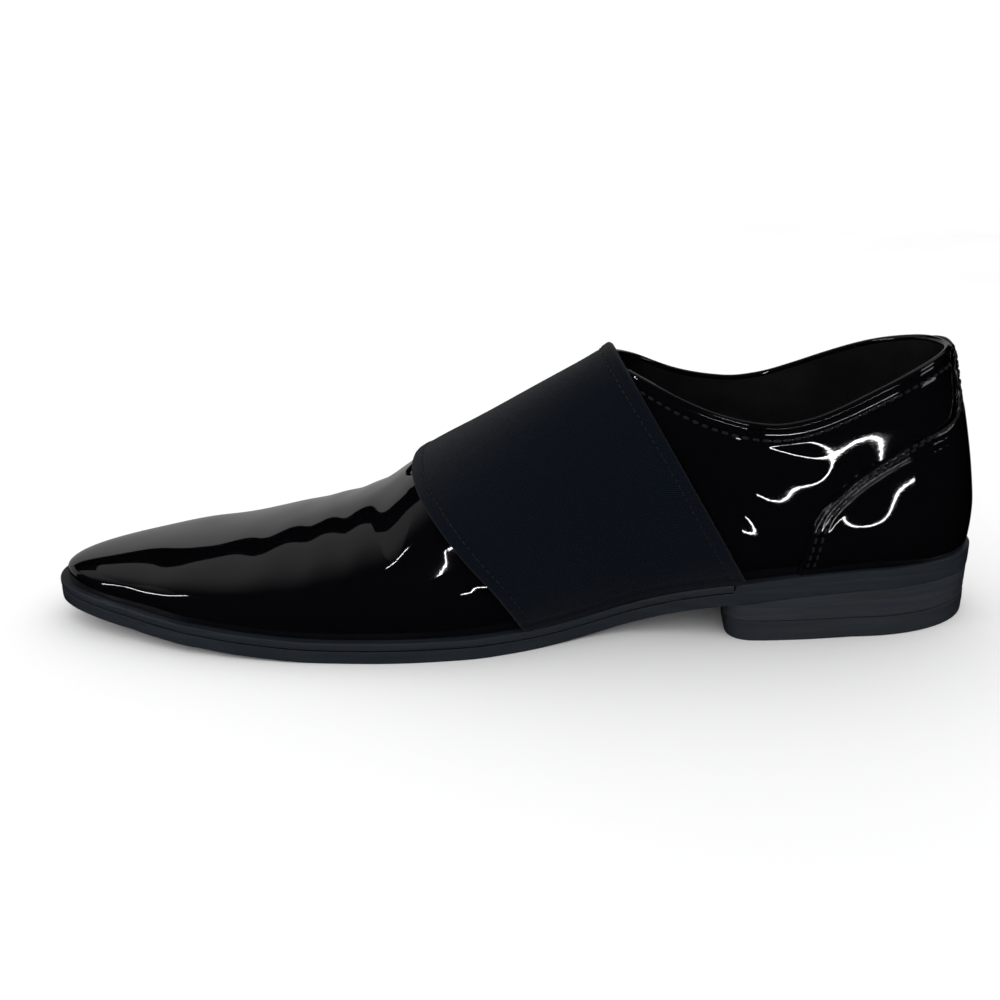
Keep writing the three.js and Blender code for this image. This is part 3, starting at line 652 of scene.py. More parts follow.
class Look:
    """Principled material together with the nodes that shape it."""

    def __init__(self, name, colour, roughness, **sockets):
        self.material = bpy.data.materials.new(name)
        self.material.use_nodes = True
        self.shader = self.material.node_tree.nodes["Principled BSDF"]
        self.feed(self.shader, Base_Color=(*colour, 1), Roughness=roughness, **sockets)

    def feed(self, node, **sockets):
        """Sets inputs by name to a value, or links them where an output of another node is given."""
        for name, value in sockets.items():
            socket = node.inputs[name.replace("_", " ")]
            if isinstance(value, bpy.types.NodeSocket):
                self.material.node_tree.links.new(value, socket)
            else:
                socket.default_value = value

    def add(self, kind, **sockets):
        """New node of a kind, with inputs fed by name."""
        node = self.material.node_tree.nodes.new("ShaderNode" + kind)
        self.feed(node, **sockets)
        return node

    def noise(self, scale, detail=3.0, stretch=(1, 1, 1)):
        """Noise on object coordinates, stretched along the axes."""
        mapping = self.add("Mapping", Vector=self.add("TexCoord").outputs["Object"], Scale=stretch)
        noise = self.add("TexNoise", Vector=mapping.outputs["Vector"], Scale=scale, Detail=detail)
        return noise.outputs["Fac"]

    def bump(self, height, distance, strength, **under):
        """Bump of a height, in metres at full height, laid over an earlier bump given as Normal."""
        bump = self.add("Bump", Height=height, Distance=distance, Strength=strength, **under)
        self.feed(self.shader, Normal=bump.outputs["Normal"])
        return bump.outputs["Normal"]

    def tones(self, factor, low, high, start=0.35, stop=0.65):
        """Base colour between two tones along a factor."""
        ramp = self.add("ValToRGB", Fac=factor)
        for stop_point, tone, position in zip(ramp.color_ramp.elements, (low, high), (start, stop)):
            stop_point.position = position
            stop_point.color = (*tone, 1)
        self.feed(self.shader, Base_Color=ramp.outputs["Color"])

    def roughness(self, factor, low, high):
        """Roughness between two values along a factor."""
        span = self.add("MapRange", Value=factor, From_Min=0.3, From_Max=0.7, To_Min=low, To_Max=high)
        self.feed(self.shader, Roughness=span.outputs["Result"])


def patent_leather():
    """Black patent leather: a wet clear coat over black, with the faint waves of a poured lacquer."""
    look = Look(
        "patent_leather", (0.0016, 0.0016, 0.0022), 0.05,
        Coat_Weight=1.0, Coat_Roughness=0.012, IOR=1.45, Coat_IOR=1.5,
    )
    normal = look.bump(look.noise(1100, 2), 0.000006, 0.6)
    look.feed(look.shader, Coat_Normal=normal)
    return look.material


def lining_leather():
    """Matt black lining with a fine grain."""
    look = Look("lining_leather", (0.012, 0.012, 0.013), 0.55)
    grain = look.noise(1600, 4)
    look.roughness(grain, 0.48, 0.66)
    look.bump(grain, 0.0002, 0.5)
    look.tones(look.noise(60), (0.0035, 0.0035, 0.004), (0.008, 0.0078, 0.0078))
    return look.material


TWILL_SLANT = math.radians(38)
TWILL_SHARE = 0.55


def woven_elastic():
    """Woven elastic: fine ribs across the band with a slanted twill, on the piece's own millimetres."""
    look = Look(
        "woven_elastic", (0.003, 0.005, 0.009), 0.95,
        Sheen_Weight=0.06, Sheen_Roughness=0.4, Specular_IOR_Level=0.12,
    )
    coordinates = look.add("UVMap")
    coordinates.uv_map = "weave"
    slanted = look.add("Mapping", Vector=coordinates.outputs["UV"], Rotation=(0, 0, TWILL_SLANT))
    twill = look.add(
        "TexWave", Vector=slanted.outputs["Vector"],
        Scale=0.62, Distortion=0.6, Detail=1.0, Detail_Scale=1.5,
    )
    ribs = look.add("TexWave", Vector=coordinates.outputs["UV"], Scale=0.55, Distortion=0.3)
    ribs.bands_direction = "Y"
    both = look.add("Math")
    both.operation = "MULTIPLY_ADD"
    look.material.node_tree.links.new(twill.outputs["Fac"], both.inputs[0])
    both.inputs[1].default_value = TWILL_SHARE
    look.material.node_tree.links.new(ribs.outputs["Fac"], both.inputs[2])
    weave = both.outputs["Value"]
    look.tones(weave, (0.0005, 0.0013, 0.0030), (0.0020, 0.0048, 0.0104), 0.25, 1.1)
    ribbed = look.bump(weave, 0.00014, 0.6)
    look.bump(look.noise(2600), 0.00025, 0.5, Normal=ribbed)
    return look.material


def sole_edge(name, tone, line_scale):
    """Satin sole edge: black wax over layers, with faint level lines, scuffs and an uneven sheen."""
    look = Look(name, tone, 0.4, Coat_Weight=0.15, Coat_Roughness=0.3)
    layers = look.noise(line_scale, 3, (0.05, 0.05, 1))
    scuffs = look.noise(260, 5, (0.35, 0.35, 1))
    look.tones(layers, [0.72 * c for c in tone], tone, 0.3, 0.7)
    look.roughness(scuffs, 0.30, 0.55)
    layered = look.bump(layers, 0.00012, 0.5)
    look.bump(scuffs, 0.0001, 0.4, Normal=layered)
    return look.material


def waxed_thread():
    """Black waxed thread with its twist as fine slanted ridges."""
    look = Look("waxed_thread", (0.010, 0.010, 0.012), 0.42)
    look.bump(look.noise(2400, 2, (1, 1, 0.4)), 0.0001, 0.6)
    return look.material


def studio_floor():
    """Plain pale floor with a hardly visible unevenness."""
    look = Look("studio_floor", (0.90, 0.90, 0.905), 0.8)
    look.tones(look.noise(3, 2), (0.885, 0.885, 0.89), (0.915, 0.915, 0.918))
    return look.material


PATENT = patent_leather()
LINING = lining_leather()
ELASTIC = woven_elastic()
EDGE = sole_edge("sole_edge", (0.0160, 0.0220, 0.0305), 700)
STACK = sole_edge("heel_stack", (0.0250, 0.0300, 0.0390), 600)
RUBBER = sole_edge("heel_rubber", (0.0220, 0.0265, 0.0345), 400)
THREAD = waxed_thread()


# Upper

COLUMN_STEP = 1.15
EDGE_ROWS = 18
EDGE_STEP = 0.42
BODY_ROWS = 56
LINING_ROWS = 34
LINING_GAP = 0.03
NO_LIMIT = 9.0
THROAT_COLUMNS = 12


def throat_half_width(x):
    """Half width of the throat slot: straight sides with a round front end, and below zero ahead of it."""
    into_end = np.clip(x - (THROAT_FRONT - THROAT_HALF), 0, None)
    room = THROAT_HALF**2 - into_end**2
    return np.where(x < THROAT_FRONT, np.sqrt(np.maximum(room, 0)), -1.0)


def both_sides(inner):
    """Places of the inner side from the back to the toe, and their mirror images on the way back."""
    return np.concatenate([inner, (2 * HALF_LOOP - inner)[::-1][1:-1]])


def upper_columns():
    """Places round the loop of the upper's columns: even, and closer together at the end of the throat."""
    even = np.linspace(BACK_END, BACK_END + HALF_LOOP, round(HALF_LOOP / COLUMN_STEP))
    end = THROAT_FRONT - THROAT_HALF + THROAT_HALF * np.sin(np.linspace(0.6, 1, THROAT_COLUMNS) * np.pi / 2)
    even = even[(even < end[0]) | (even > end[-1] + 0.3)]
    return both_sides(np.sort(np.concatenate([even, end, [THROAT_FRONT + 0.25]])) - BACK_END)


def top_edge(q):
    """How far up each section the upper reaches: to the collar line or to the side of the throat slot."""
    v = np.linspace(0.3, 2, 500)
    point = last_point(q[:, None], v[None, :])
    x, y, z = point[..., 0], point[..., 1], point[..., 2]
    under_collar = np.where(x < COLLAR_END, collar_line(x) - z, NO_LIMIT)
    at_throat = (z > INSTEP_HEIGHT / 3) & (x > THROAT_REAR)
    beside_throat = np.where(at_throat, np.abs(y) - throat_half_width(x), NO_LIMIT)
    room = np.minimum(under_collar, beside_throat)
    open_here = (room < 0).any(1)
    return np.where(open_here, first_below(room, v), 2.0), open_here


def sheet_rows(q, v_end, near, far_rows):
    """Heights of a sheet's rows: near distances below its top edge, then even steps down to the feather."""
    v = np.linspace(0, 1, 240)[None, :] * v_end[:, None]
    point = last_point(q[:, None], v)
    down = run_along(point[:, ::-1], 1)
    full = down[:, -1]
    rest = near[-1] + (full[:, None] - near[-1]) * np.linspace(0, 1, far_rows + 1)[None, 1:]
    wanted = np.concatenate([np.broadcast_to(near, (len(q), len(near))), rest], axis=1)
    back = v[:, ::-1]
    rows = np.empty_like(wanted)
    for k in range(len(q)):
        rows[k] = np.interp(wanted[k], down[k], back[k])
    return rows, wanted


def edge_roll(distance, reach=1.4, drop=0.55):
    """The folded edge turns in along a quarter round near the top."""
    return -drop * (1 - np.sqrt(1 - 0.98 * np.clip(1 - distance / reach, 0, 1) ** 2))


COLLAR_STITCH = 3.6
STITCH_TRENCH = 0.75


def trench(distance, at, depth=0.22, width=STITCH_TRENCH):
    """A stitched line pulls the leather down along a narrow bell."""
    return -depth * np.exp(-(((distance - at) / width) ** 2))


def shell(q, v_end, is_open, outside, inside, near, far_rows, roll):
    """Two sheets at two distances from the last, joined along the feather line and the open top edge."""
    rows, distance = sheet_rows(q, v_end, near, far_rows)
    visible = is_open[:, None] & (last_point(q, v_end)[:, None, 0] < COLLAR_END - 4)
    shape = np.where(visible, roll(distance), 0)
    outer = leather_point(q[:, None], rows, outside + shape)
    inner = leather_point(q[:, None], rows, inside)
    count, per = rows.shape
    base = count * per
    points = np.concatenate([outer.reshape(-1, 3), inner.reshape(-1, 3)])
    quads = [grid_quads(count, per, start, wrap_rows=True) for start in (0, base)]
    here = np.arange(count) * per
    after = np.roll(here, -1)
    lips = is_open | np.roll(is_open, -1)
    for one, other in ((here + per - 1, after + per - 1), (here[lips], after[lips])):
        quads.append(np.stack([one, other, base + other, base + one], 1))
    return points, np.concatenate(quads)


def make_upper():
    """Patent outside of the upper over its lining, both open at the collar, the throat and underneath.

    Gives the places of its columns round the loop, how far up each one reaches, and whether it ends open.
    """
    q = upper_columns()
    v_end, is_open = top_edge(q)
    near = np.arange(EDGE_ROWS) * EDGE_STEP

    def rolled(distance):
        return edge_roll(distance) + trench(distance, COLLAR_STITCH)

    patent = shell(q, v_end, is_open, 0.0, -LEATHER, near, BODY_ROWS, rolled)
    add_piece("upper_patent", patent, PATENT, ["upper"])
    few = np.array([0.0, 0.5, 1.0, 2.0, 4.0])
    outside = -LEATHER - LINING_GAP
    lining = shell(q, v_end, is_open, outside, -WALL, few, LINING_ROWS, lambda distance: 0 * distance)
    add_piece("upper_lining", lining, LINING, crisp=50)
    return q, v_end, is_open


def tube(path, radius, sides=12):
    """Round tube along a path: circles square to it, the first and last of them shrunk to a point."""
    tangent = np.gradient(path, axis=0)
    tangent /= np.linalg.norm(tangent, axis=1, keepdims=True)
    up = np.array([0.0, 0.0, 1.0])
    side = np.cross(tangent, up)
    side /= np.linalg.norm(side, axis=1, keepdims=True)
    rise = np.cross(side, tangent)
    angle = np.arange(sides) * 2 * np.pi / sides
    ring = np.cos(angle)[None, :, None] * side[:, None] + np.sin(angle)[None, :, None] * rise[:, None]
    size = np.full(len(path), radius)
    size[[0, -1]] = 0.0
    points = path[:, None] + ring * size[:, None, None]
    return points, grid_quads(len(path), sides, wrap_cols=True)


PIPING_RADIUS = 1.15
PIPING_DEPTH = 0.95
PIPING_RISE = 0.15
PIPING_TUCK = 1.5


def in_order(keep):
    """Numbers of the kept places of a closed loop, from the first after a gap round to the next gap."""
    order = np.roll(np.arange(len(keep)), -np.argmax(~keep))
    return order[keep[order]]


def collar_places(q, v_end, is_open, before_end):
    """The upper's columns along the collar, from one side of the band round the back to the other."""
    return in_order(is_open & (last_point(q, v_end)[:, 0] < COLLAR_END - before_end))


def make_piping(q, v_end, is_open):
    """Piping along the collar: a round cord that sits on the wall's edge, from the band round the back."""
    order = collar_places(q, v_end, is_open, PIPING_TUCK)
    middle = leather_point(q[order], v_end[order], -PIPING_DEPTH)
    cord = tube(middle + np.array([0, 0, PIPING_RISE]), PIPING_RADIUS)
    add_piece("collar_piping", cord, PATENT)


# Stitches

STITCH_PITCH = 3.0
STITCH_LENGTH = 2.3
STITCH_RADIUS = 0.42
STITCH_TUCK = 10
STITCH_RINGS = 7
STITCH_SIDES = 8


def stitch_row(path, normal, pitch=STITCH_PITCH, length=STITCH_LENGTH, thick=STITCH_RADIUS):
    """Stitches spaced along a path: each a small spindle half sunk in what it holds."""
    run = run_along(path)
    count = int(run[-1] / pitch)
    centre_at = (np.arange(count) + 0.5) * pitch
    centre = read_off(centre_at, run, path)
    ahead = read_off(centre_at + 0.6, run, path) - read_off(centre_at - 0.6, run, path)
    ahead /= np.linalg.norm(ahead, axis=1, keepdims=True)
    out = read_off(centre_at, run, normal)
    out -= (out * ahead).sum(1, keepdims=True) * ahead
    out /= np.linalg.norm(out, axis=1, keepdims=True)
    across = np.cross(ahead, out)
    lengthwise = np.linspace(-1, 1, STITCH_RINGS)
    angle = np.arange(STITCH_SIDES) * 2 * np.pi / STITCH_SIDES
    radius = thick * np.sqrt(np.maximum(1 - lengthwise**4, 0))
    sink = 0.3 * thick - 0.8 * thick * lengthwise**2
    a = lengthwise[:, None] * length / 2 + 0 * angle[None, :]
    b = radius[:, None] * np.cos(angle)[None, :]
    c = radius[:, None] * np.sin(angle)[None, :] + sink[:, None]
    points = centre[:, None, None]
    for size, way in ((a, ahead), (b, across), (c, out)):
        points = points + size[None, ..., None] * way[:, None, None]
    one = grid_quads(STITCH_RINGS, STITCH_SIDES, wrap_cols=True)
    starts = np.arange(count) * STITCH_RINGS * STITCH_SIDES
    return points.reshape(-1, 3), (one[None] + starts[:, None, None]).reshape(-1, 4)


def join(parts):
    """Joins several lists of points and faces into one."""
    points = np.concatenate([p for p, _ in parts])
    starts = np.cumsum([0] + [len(p) for p, _ in parts[:-1]])
    quads = np.concatenate([f + s for (_, f), s in zip(parts, starts)])
    return points, quads


def make_collar_stitches(q, v_end, is_open):
    """The stitched row below the collar, from one side of the band to the other, over the backstay too."""
    order = collar_places(q, v_end, is_open, STITCH_TUCK)
    rows, _ = sheet_rows(q[order], v_end[order], np.array([0.0, COLLAR_STITCH]), 2)
    v = rows[:, 1]
    path = leather_point(q[order], v, trench(0, 0))
    free = path[:, 0] > counter_edge_at(path[:, 2]) + 0.8
    normal = last_normal(q[order], v)
    runs = np.split(np.arange(len(order)), np.flatnonzero(np.diff(free.astype(int))) + 1)
    parts = [stitch_row(path[run], normal[run]) for run in runs if free[run[0]] and len(run) > 8]
    raised = leather_point(q[order][~free], v[~free], GAP + COUNTER_THICKNESS + trench(0, 0))
    parts.append(stitch_row(raised, normal[~free]))
    add_piece("collar_stitches", join(parts), THREAD)


# Counter

COUNTER_ROWS = 90
COUNTER_HALF = 100
COUNTER_STITCHES = (2.2, 4.4)
COUNTER_BLUR = (1.6, 1.2)
COUNTER_CROWDING = 1.25
COUNTER_BEND = 1.5
COUNTER_ROUND = (0.75, 1.1)
COUNTER_TOP_ROUND = (0.6, 1.0)
COUNTER_TRENCH = (0.2, 0.6)


def counter_spline():
    """Front edge of the counter in side view at even steps, from the top down to the sole."""
    corner = np.array([[row["reach"] * row["of"], row["height"] * BACK_HEIGHT] for row in COUNTER_EDGE])
    run = run_along(corner)
    fine = np.linspace(0, run[-1], 600)
    curves = [curve_through(run, part) for part in corner.T]
    return [blur_along(curve, width)(fine) for curve, width in zip(curves, COUNTER_BLUR)]


def rolled_down(distance, drop, reach):
    """An edge drops along the square of what is left of its reach."""
    return -drop * (1 - np.clip(distance / reach, 0, 1)) ** 2


def counter_edge_at(z):
    """Place along the shoe of the counter's front edge at a height."""
    x_edge, z_edge = counter_spline()
    return np.interp(z, z_edge[::-1], x_edge[::-1])


def find_section(q, z, top=1.9, steps=100):
    """Section height v at which the last reaches a height, read off between fine steps."""
    v = np.linspace(0, top, steps)
    heights = last_point(q[..., None], v)[..., 2]
    index = np.clip((heights < z[..., None]).sum(-1) - 1, 0, len(v) - 2)
    low = np.take_along_axis(heights, index[..., None], -1)[..., 0]
    high = np.take_along_axis(heights, index[..., None] + 1, -1)[..., 0]
    share = np.clip((z - low) / np.maximum(high - low, 1e-6), 0, 1)
    return v[index] + share * (v[1] - v[0])


def counter_grid():
    """Places on the last of both halves of the counter: rows from the sole up, columns from the back."""
    x_edge, z_edge = counter_spline()
    inside = z_edge < collar_line(x_edge) + COUNTER_STEP
    x_edge, z_edge = x_edge[inside], z_edge[inside]
    run = run_along(np.stack([x_edge, z_edge], -1))
    start = np.interp(sole_top(COUNTER_REACH) + GAP, z_edge[::-1], run[::-1])
    at = np.linspace(start, 0, COUNTER_ROWS)
    edge_x = np.interp(at, run, x_edge)
    edge_z = np.interp(at, run, z_edge)
    station = np.linspace(BACK_END, 100, 400)
    share = 1 - (1 - np.linspace(0, 1, COUNTER_HALF)) ** COUNTER_CROWDING
    both = []
    fine = np.linspace(0, 1.9, 300)
    for side in (1.0, -1.0):
        sheet = last_point(loop_at(station, side)[:, None], fine[None, :])
        edge_p = np.empty(COUNTER_ROWS)
        for k in range(COUNTER_ROWS):
            x = np.array([np.interp(edge_z[k], row[:, 2], row[:, 0]) for row in sheet])
            edge_p[k] = np.interp(edge_x[k], np.maximum.accumulate(x), station)
        back_z = np.linspace(sole_top(0) + GAP, collar_line(2) + COUNTER_STEP, COUNTER_ROWS)
        p = BACK_END + (edge_p[:, None] - BACK_END) * share[None, :]
        z = back_z[:, None] + (edge_z - back_z)[:, None] * share[None, :] ** COUNTER_BEND
        q = loop_at(p, side)
        both.append((q, find_section(q, z)))
    return both


def make_counter():
    """Counter and backstay: one overlay round the heel with a folded front edge and two stitched lines."""
    halves = counter_grid()
    (q_in, v_in), (q_out, v_out) = halves
    q, v = beside(q_out, q_in + 2 * HALF_LOOP), beside(v_out, v_in)
    base = last_point(q, v)
    run = run_along(base, 1)
    from_edge = np.minimum(run, run[:, -1:] - run)
    x_edge, z_edge = counter_spline()
    away = (base[..., 0, None] - x_edge[::6]) ** 2 + (base[..., 2, None] - z_edge[::6]) ** 2
    distance = np.minimum(from_edge, np.sqrt(away.min(-1)))
    below_top = collar_line(base[..., 0]) + COUNTER_STEP - base[..., 2]
    rounding = rolled_down(distance, *COUNTER_ROUND) + rolled_down(below_top, *COUNTER_TOP_ROUND)
    lines = sum(trench(distance, at, *COUNTER_TRENCH) for at in COUNTER_STITCHES)
    lines += trench(below_top, COLLAR_STITCH + COUNTER_STEP, *COUNTER_TRENCH)
    outer = leather_point(q, v, GAP + COUNTER_THICKNESS + rounding + lines)
    overlay = slab(outer, leather_point(q, v, GAP))
    add_piece("counter_patent", overlay, PATENT, ["heel_counter"])
    parts = []
    for q_half, section_v in halves:
        base = last_point(q_half, section_v)
        run = run_along(base[:, ::-1], 1)[:, 1:]
        for at in COUNTER_STITCHES:
            column_index = np.clip((run < at).sum(1), 1, COUNTER_HALF - 2)
            pick = COUNTER_HALF - 1 - column_index
            row = np.arange(3, COUNTER_ROWS - 2)
            q_line, v_line = q_half[row, pick[row]], section_v[row, pick[row]]
            path = leather_point(q_line, v_line, GAP + COUNTER_THICKNESS - COUNTER_TRENCH[0])
            parts.append(stitch_row(path, last_normal(q_line, v_line)))
    add_piece("counter_stitches", join(parts), THREAD)


# Instep band

BAND_ACROSS = 84
BAND_ALONG = 110
BAND_ROUND = 1.1
BAND_CROWDING = 0.09
BAND_SLACK = 0.10
BAND_MIDDLE = 140.0
HEM_STITCH = 3.6
FOOT_STITCH = 3.8
HEM_GROOVE = 0.5
HEM_SHAPE = (0.35, 3.0, 1.2)
FOOT_SHAPE = (0.25, 3.2, 1.0)
HEM_THREAD = (2.2, 1.9, 0.22)


def edge_station(v, side, edge, low, high):
    """Station at which each section crosses an edge of the band, found between fine steps."""
    p = np.linspace(low, high, 240)
    point = last_point(loop_at(p, side)[None, :], v[:, None])
    return first_below(edge(point[..., 2]) - point[..., 0], p)


def band_route():
    """Sections along the band, from the inner sole edge over the instep to the outer one, evenly spaced."""
    v = np.linspace(0.02, 2, 300)
    inner = last_point(loop_at(BAND_MIDDLE, 1.0), v)
    run = run_along(inner)
    return np.interp(np.linspace(0, run[-1], BAND_ALONG), run, v), run[-1]


def hem_rise(distance, height, width, slope):
    """A folded hem stands higher as far as its width and falls along a slope."""
    return height * (1 - smooth_step((distance - width) / slope))


def make_band():
    """Elastic band: a strip over the instep whose hems are folded, stitched and a little thicker."""
    v_half, length = band_route()
    v = np.concatenate([v_half, v_half[::-1][1:]])
    side = np.concatenate([np.ones(BAND_ALONG), -np.ones(BAND_ALONG - 1)])
    rear, front = np.empty(len(v)), np.empty(len(v))
    for sign in (1.0, -1.0):
        mine = side == sign
        rear[mine] = edge_station(v[mine], sign, rear_edge, 50, 130)
        front[mine] = edge_station(v[mine], sign, front_edge, 130, 200)
    even = np.linspace(0, 1, BAND_ACROSS)
    share = even - BAND_CROWDING * np.sin(4 * np.pi * even) / 2
    width = (front - rear)[:, None]
    to_rear = share[None, :] * width
    to_front = (1 - share)[None, :] * width
    edge = np.minimum(to_rear, to_front)
    p = rear[:, None] + to_rear
    q = loop_at(p, side[:, None])
    rounded = BAND_THICKNESS * np.sqrt(1 - (1 - np.clip(edge / BAND_ROUND, 0, 1)) ** 2 * 0.96)
    hem = hem_rise(edge, *HEM_SHAPE)
    groove = trench(edge, HEM_STITCH, 0.28, HEM_GROOVE)
    run = np.linspace(0, 2 * length, len(v))[:, None]
    foot = np.minimum(run, 2 * length - run)
    hem_foot = hem_rise(foot, *FOOT_SHAPE) + trench(foot, FOOT_STITCH, 0.22, HEM_GROOVE)
    slack = BAND_SLACK * np.sin(run / 17 + 0.06 * to_rear) * np.sin(to_rear / 13 + 0.8)
    base, normal = last_point(q, v[:, None]), last_normal(q, v[:, None])
    outer = base + normal * (GAP + rounded + hem + groove + hem_foot + slack)[..., None]
    inner = base + normal * GAP
    loop = np.concatenate([outer, inner[:, ::-1]], axis=1)
    uv_outer = np.stack([to_rear, np.broadcast_to(run, to_rear.shape)], -1)
    uv = np.concatenate([uv_outer, uv_outer[:, ::-1]], axis=1)
    rows, cols = loop.shape[:2]
    quads = [grid_quads(rows, cols, wrap_cols=True)]
    grid = np.arange(rows * cols).reshape(rows, cols)
    for end in (0, -1):
        quads.append(between(grid[end, :BAND_ACROSS], grid[end, BAND_ACROSS:][::-1]))
    band = (loop, np.concatenate(quads))
    add_piece("band_elastic", band, ELASTIC, ["instep_band"], uv=uv)
    parts = []
    for sign in (1.0, -1.0):
        mine = side == sign
        for at, start in ((HEM_STITCH, rear), (-HEM_STITCH, front)):
            q_line = loop_at(start[mine] + at, sign)
            base, normal = last_point(q_line, v[mine]), last_normal(q_line, v[mine])
            path = base + normal * (GAP + BAND_THICKNESS - 0.10)
            parts.append(stitch_row(path, normal, *HEM_THREAD))
    add_piece("band_stitches", join(parts), THREAD)


# Tongue and insole

TONGUE_ROWS = 120
TONGUE_COLS = 40
TONGUE_SWELL = 1.5
TONGUE_CLEAR = 0.5
TONGUE_SLOPE = 3.5
INSOLE_RINGS = ((0.0, 0.0), (1.6, 0.0), (2.5, 0.25), (INSOLE_THICKNESS, 1.0))


def make_tongue():
    """Tongue: a thin patent strip under the throat slot, from under the band to a rounded front."""
    front = THROAT_FRONT + TONGUE_OVERLAP
    half = THROAT_HALF + TONGUE_OVERLAP
    across = half * np.sin(np.linspace(0, np.pi / 2, TONGUE_COLS))
    fine = np.linspace(1.0, 2, 400)
    stations = np.linspace(95, front, 300)
    halves = []
    for side in (1.0, -1.0):
        sheet = last_point(loop_at(stations, side)[:, None], fine[None, :])
        reach = side * (sheet[..., 1] - centre_line(sheet[..., 0]))
        v = np.array([np.interp(-across, -row, fine) for row in reach])
        height = np.array([np.interp(where, fine, row) for where, row in zip(v, sheet[..., 2])])
        behind = stations[:, None] - rear_edge(height) - TONGUE_SETBACK
        start = np.array([np.interp(0, behind[:, k], stations) for k in range(TONGUE_COLS)])
        end = front - half + np.sqrt(half**2 - across**2)
        share = np.linspace(0, 1, TONGUE_ROWS)[:, None]
        p = start + (end - start) * share
        v_here = np.stack([np.interp(p[:, k], stations, v[:, k]) for k in range(TONGUE_COLS)], 1)
        halves.append((loop_at(p, side), v_here))
    q, v = (beside(inner, outer) for inner, outer in zip(*halves))
    base, normal = last_point(q, v), last_normal(q, v)
    inside = throat_half_width(base[..., 0]) - np.abs(base[..., 1]) - TONGUE_CLEAR
    swell = TONGUE_SWELL * smooth_step(inside / TONGUE_SLOPE)
    outer = base + normal * (swell - WALL - GAP)[..., None]
    strip = slab(outer, base + normal * (swell - WALL - GAP - TONGUE_THICKNESS)[..., None])
    add_piece("tongue_patent", strip, PATENT, ["tongue"], crisp=50)


def ladder(ring, steps):
    """Points between the two sides of a ring that starts at one end and turns at the other."""
    count = len(ring) // 2 + 1
    inner = ring[:count]
    outer = np.concatenate([ring[:1], ring[count - 1:][::-1]])[:count]
    share = np.linspace(0, 1, steps + 1)[None, :, None]
    return inner[:, None] * (1 - share) + outer[:, None] * share


RING = 520
CAP_STEPS = 36


def plate(rings, cap_top, cap_low):
    """Closed plate: rings stacked round its edge, closed above and below by ladders across it."""
    rings = np.asarray(rings)
    count = rings.shape[1]
    points = [rings.reshape(-1, 3)]
    quads = [grid_quads(rings.shape[0], count, wrap_cols=True)]
    start = rings.shape[0] * count
    for cap in (cap_top, cap_low):
        points.append(cap.reshape(-1, 3))
        quads.append(grid_quads(cap.shape[0], cap.shape[1], start))
        start += cap.shape[0] * cap.shape[1]
    return np.concatenate(points), np.concatenate(quads)


def ring_places(count=RING):
    """Places round the loop, even on both sides, that start at the back and turn at the toe."""
    return both_sides(np.linspace(0, HALF_LOOP, count // 2 + 1))


def make_insole():
    """Footbed: a plate inside the upper, rounded at its rim."""
    q = ring_places()
    rings = []
    for rise, inset in INSOLE_RINGS:
        v = find_section(q, sole_top(last_point(q, 0)[:, 0]) + GAP + rise, 1.0, 120)
        base = last_point(q, v) + last_normal(q, v) * (-WALL - GAP - inset)
        base[:, 2] = sole_top(base[:, 0]) + GAP + rise
        rings.append(base)
    top = ladder(rings[-1], CAP_STEPS)
    low = ladder(rings[0], CAP_STEPS)
    for cap, rise in ((top, INSOLE_THICKNESS), (low, 0.0)):
        cap[1:-1, 1:-1, 2] = sole_top(cap[1:-1, 1:-1, 0]) + GAP + rise
    add_piece("insole_sock", plate(rings, top, low), LINING, ["insole"])


# Sole and heel

WELT_CORNER = 0.3
WELT_POINTS = 620
SOLE_ROUND = (0.05, 0.02)
SEAT_GROOVE = (0.62, 0.12, 0.035)
TREAD_GROOVE = 0.35
TREAD_RINGS = (1.2, 2.0, 4.0, 6.0)
TREAD_STEPS = 56
TREAD_PITCH = 5.0
TREAD_FROM = 150
TREAD_TO = 262
TREAD_RIM = 7


def side_profile(thickness, corner, belly=0.1):
    """Inset and height down a sole's edge: rounded corners and a slight belly between them."""
    turn = np.linspace(0, np.pi / 2, 5)
    top = [(corner * (1 - math.sin(a)), thickness - corner * (1 - math.cos(a))) for a in turn]
    height = np.linspace(thickness - corner, corner, 22)[1:-1]
    inset = -belly * np.sin(np.pi * height / thickness)
    low = [(corner * (1 - math.cos(a)), corner * (1 - math.sin(a))) for a in turn]
    return top + list(zip(inset, height)) + low


def rim(q, inset, line, lift=0.0):
    """Points round the sole's outline at an inset, as high as a line of the sole plus a lift."""
    edge = sole_outline(q, inset)
    return np.column_stack([edge, line(edge[:, 0]) + lift])


def tread_relief(x, y, inset_from_edge):
    """Depth of the tread: fine grooves across the forefoot, clear of the rim."""
    inside = smooth_step((inset_from_edge - TREAD_RIM) / 2)
    zone = smooth_step((x - TREAD_FROM) / 4) * smooth_step((TREAD_TO - x) / 4)
    wave = 0.5 + 0.5 * np.cos(2 * np.pi * (x + 0.012 * (y - 2) ** 2) / TREAD_PITCH)
    return TREAD_GROOVE * smooth_step((wave - 0.62) / 0.25) * inside * zone


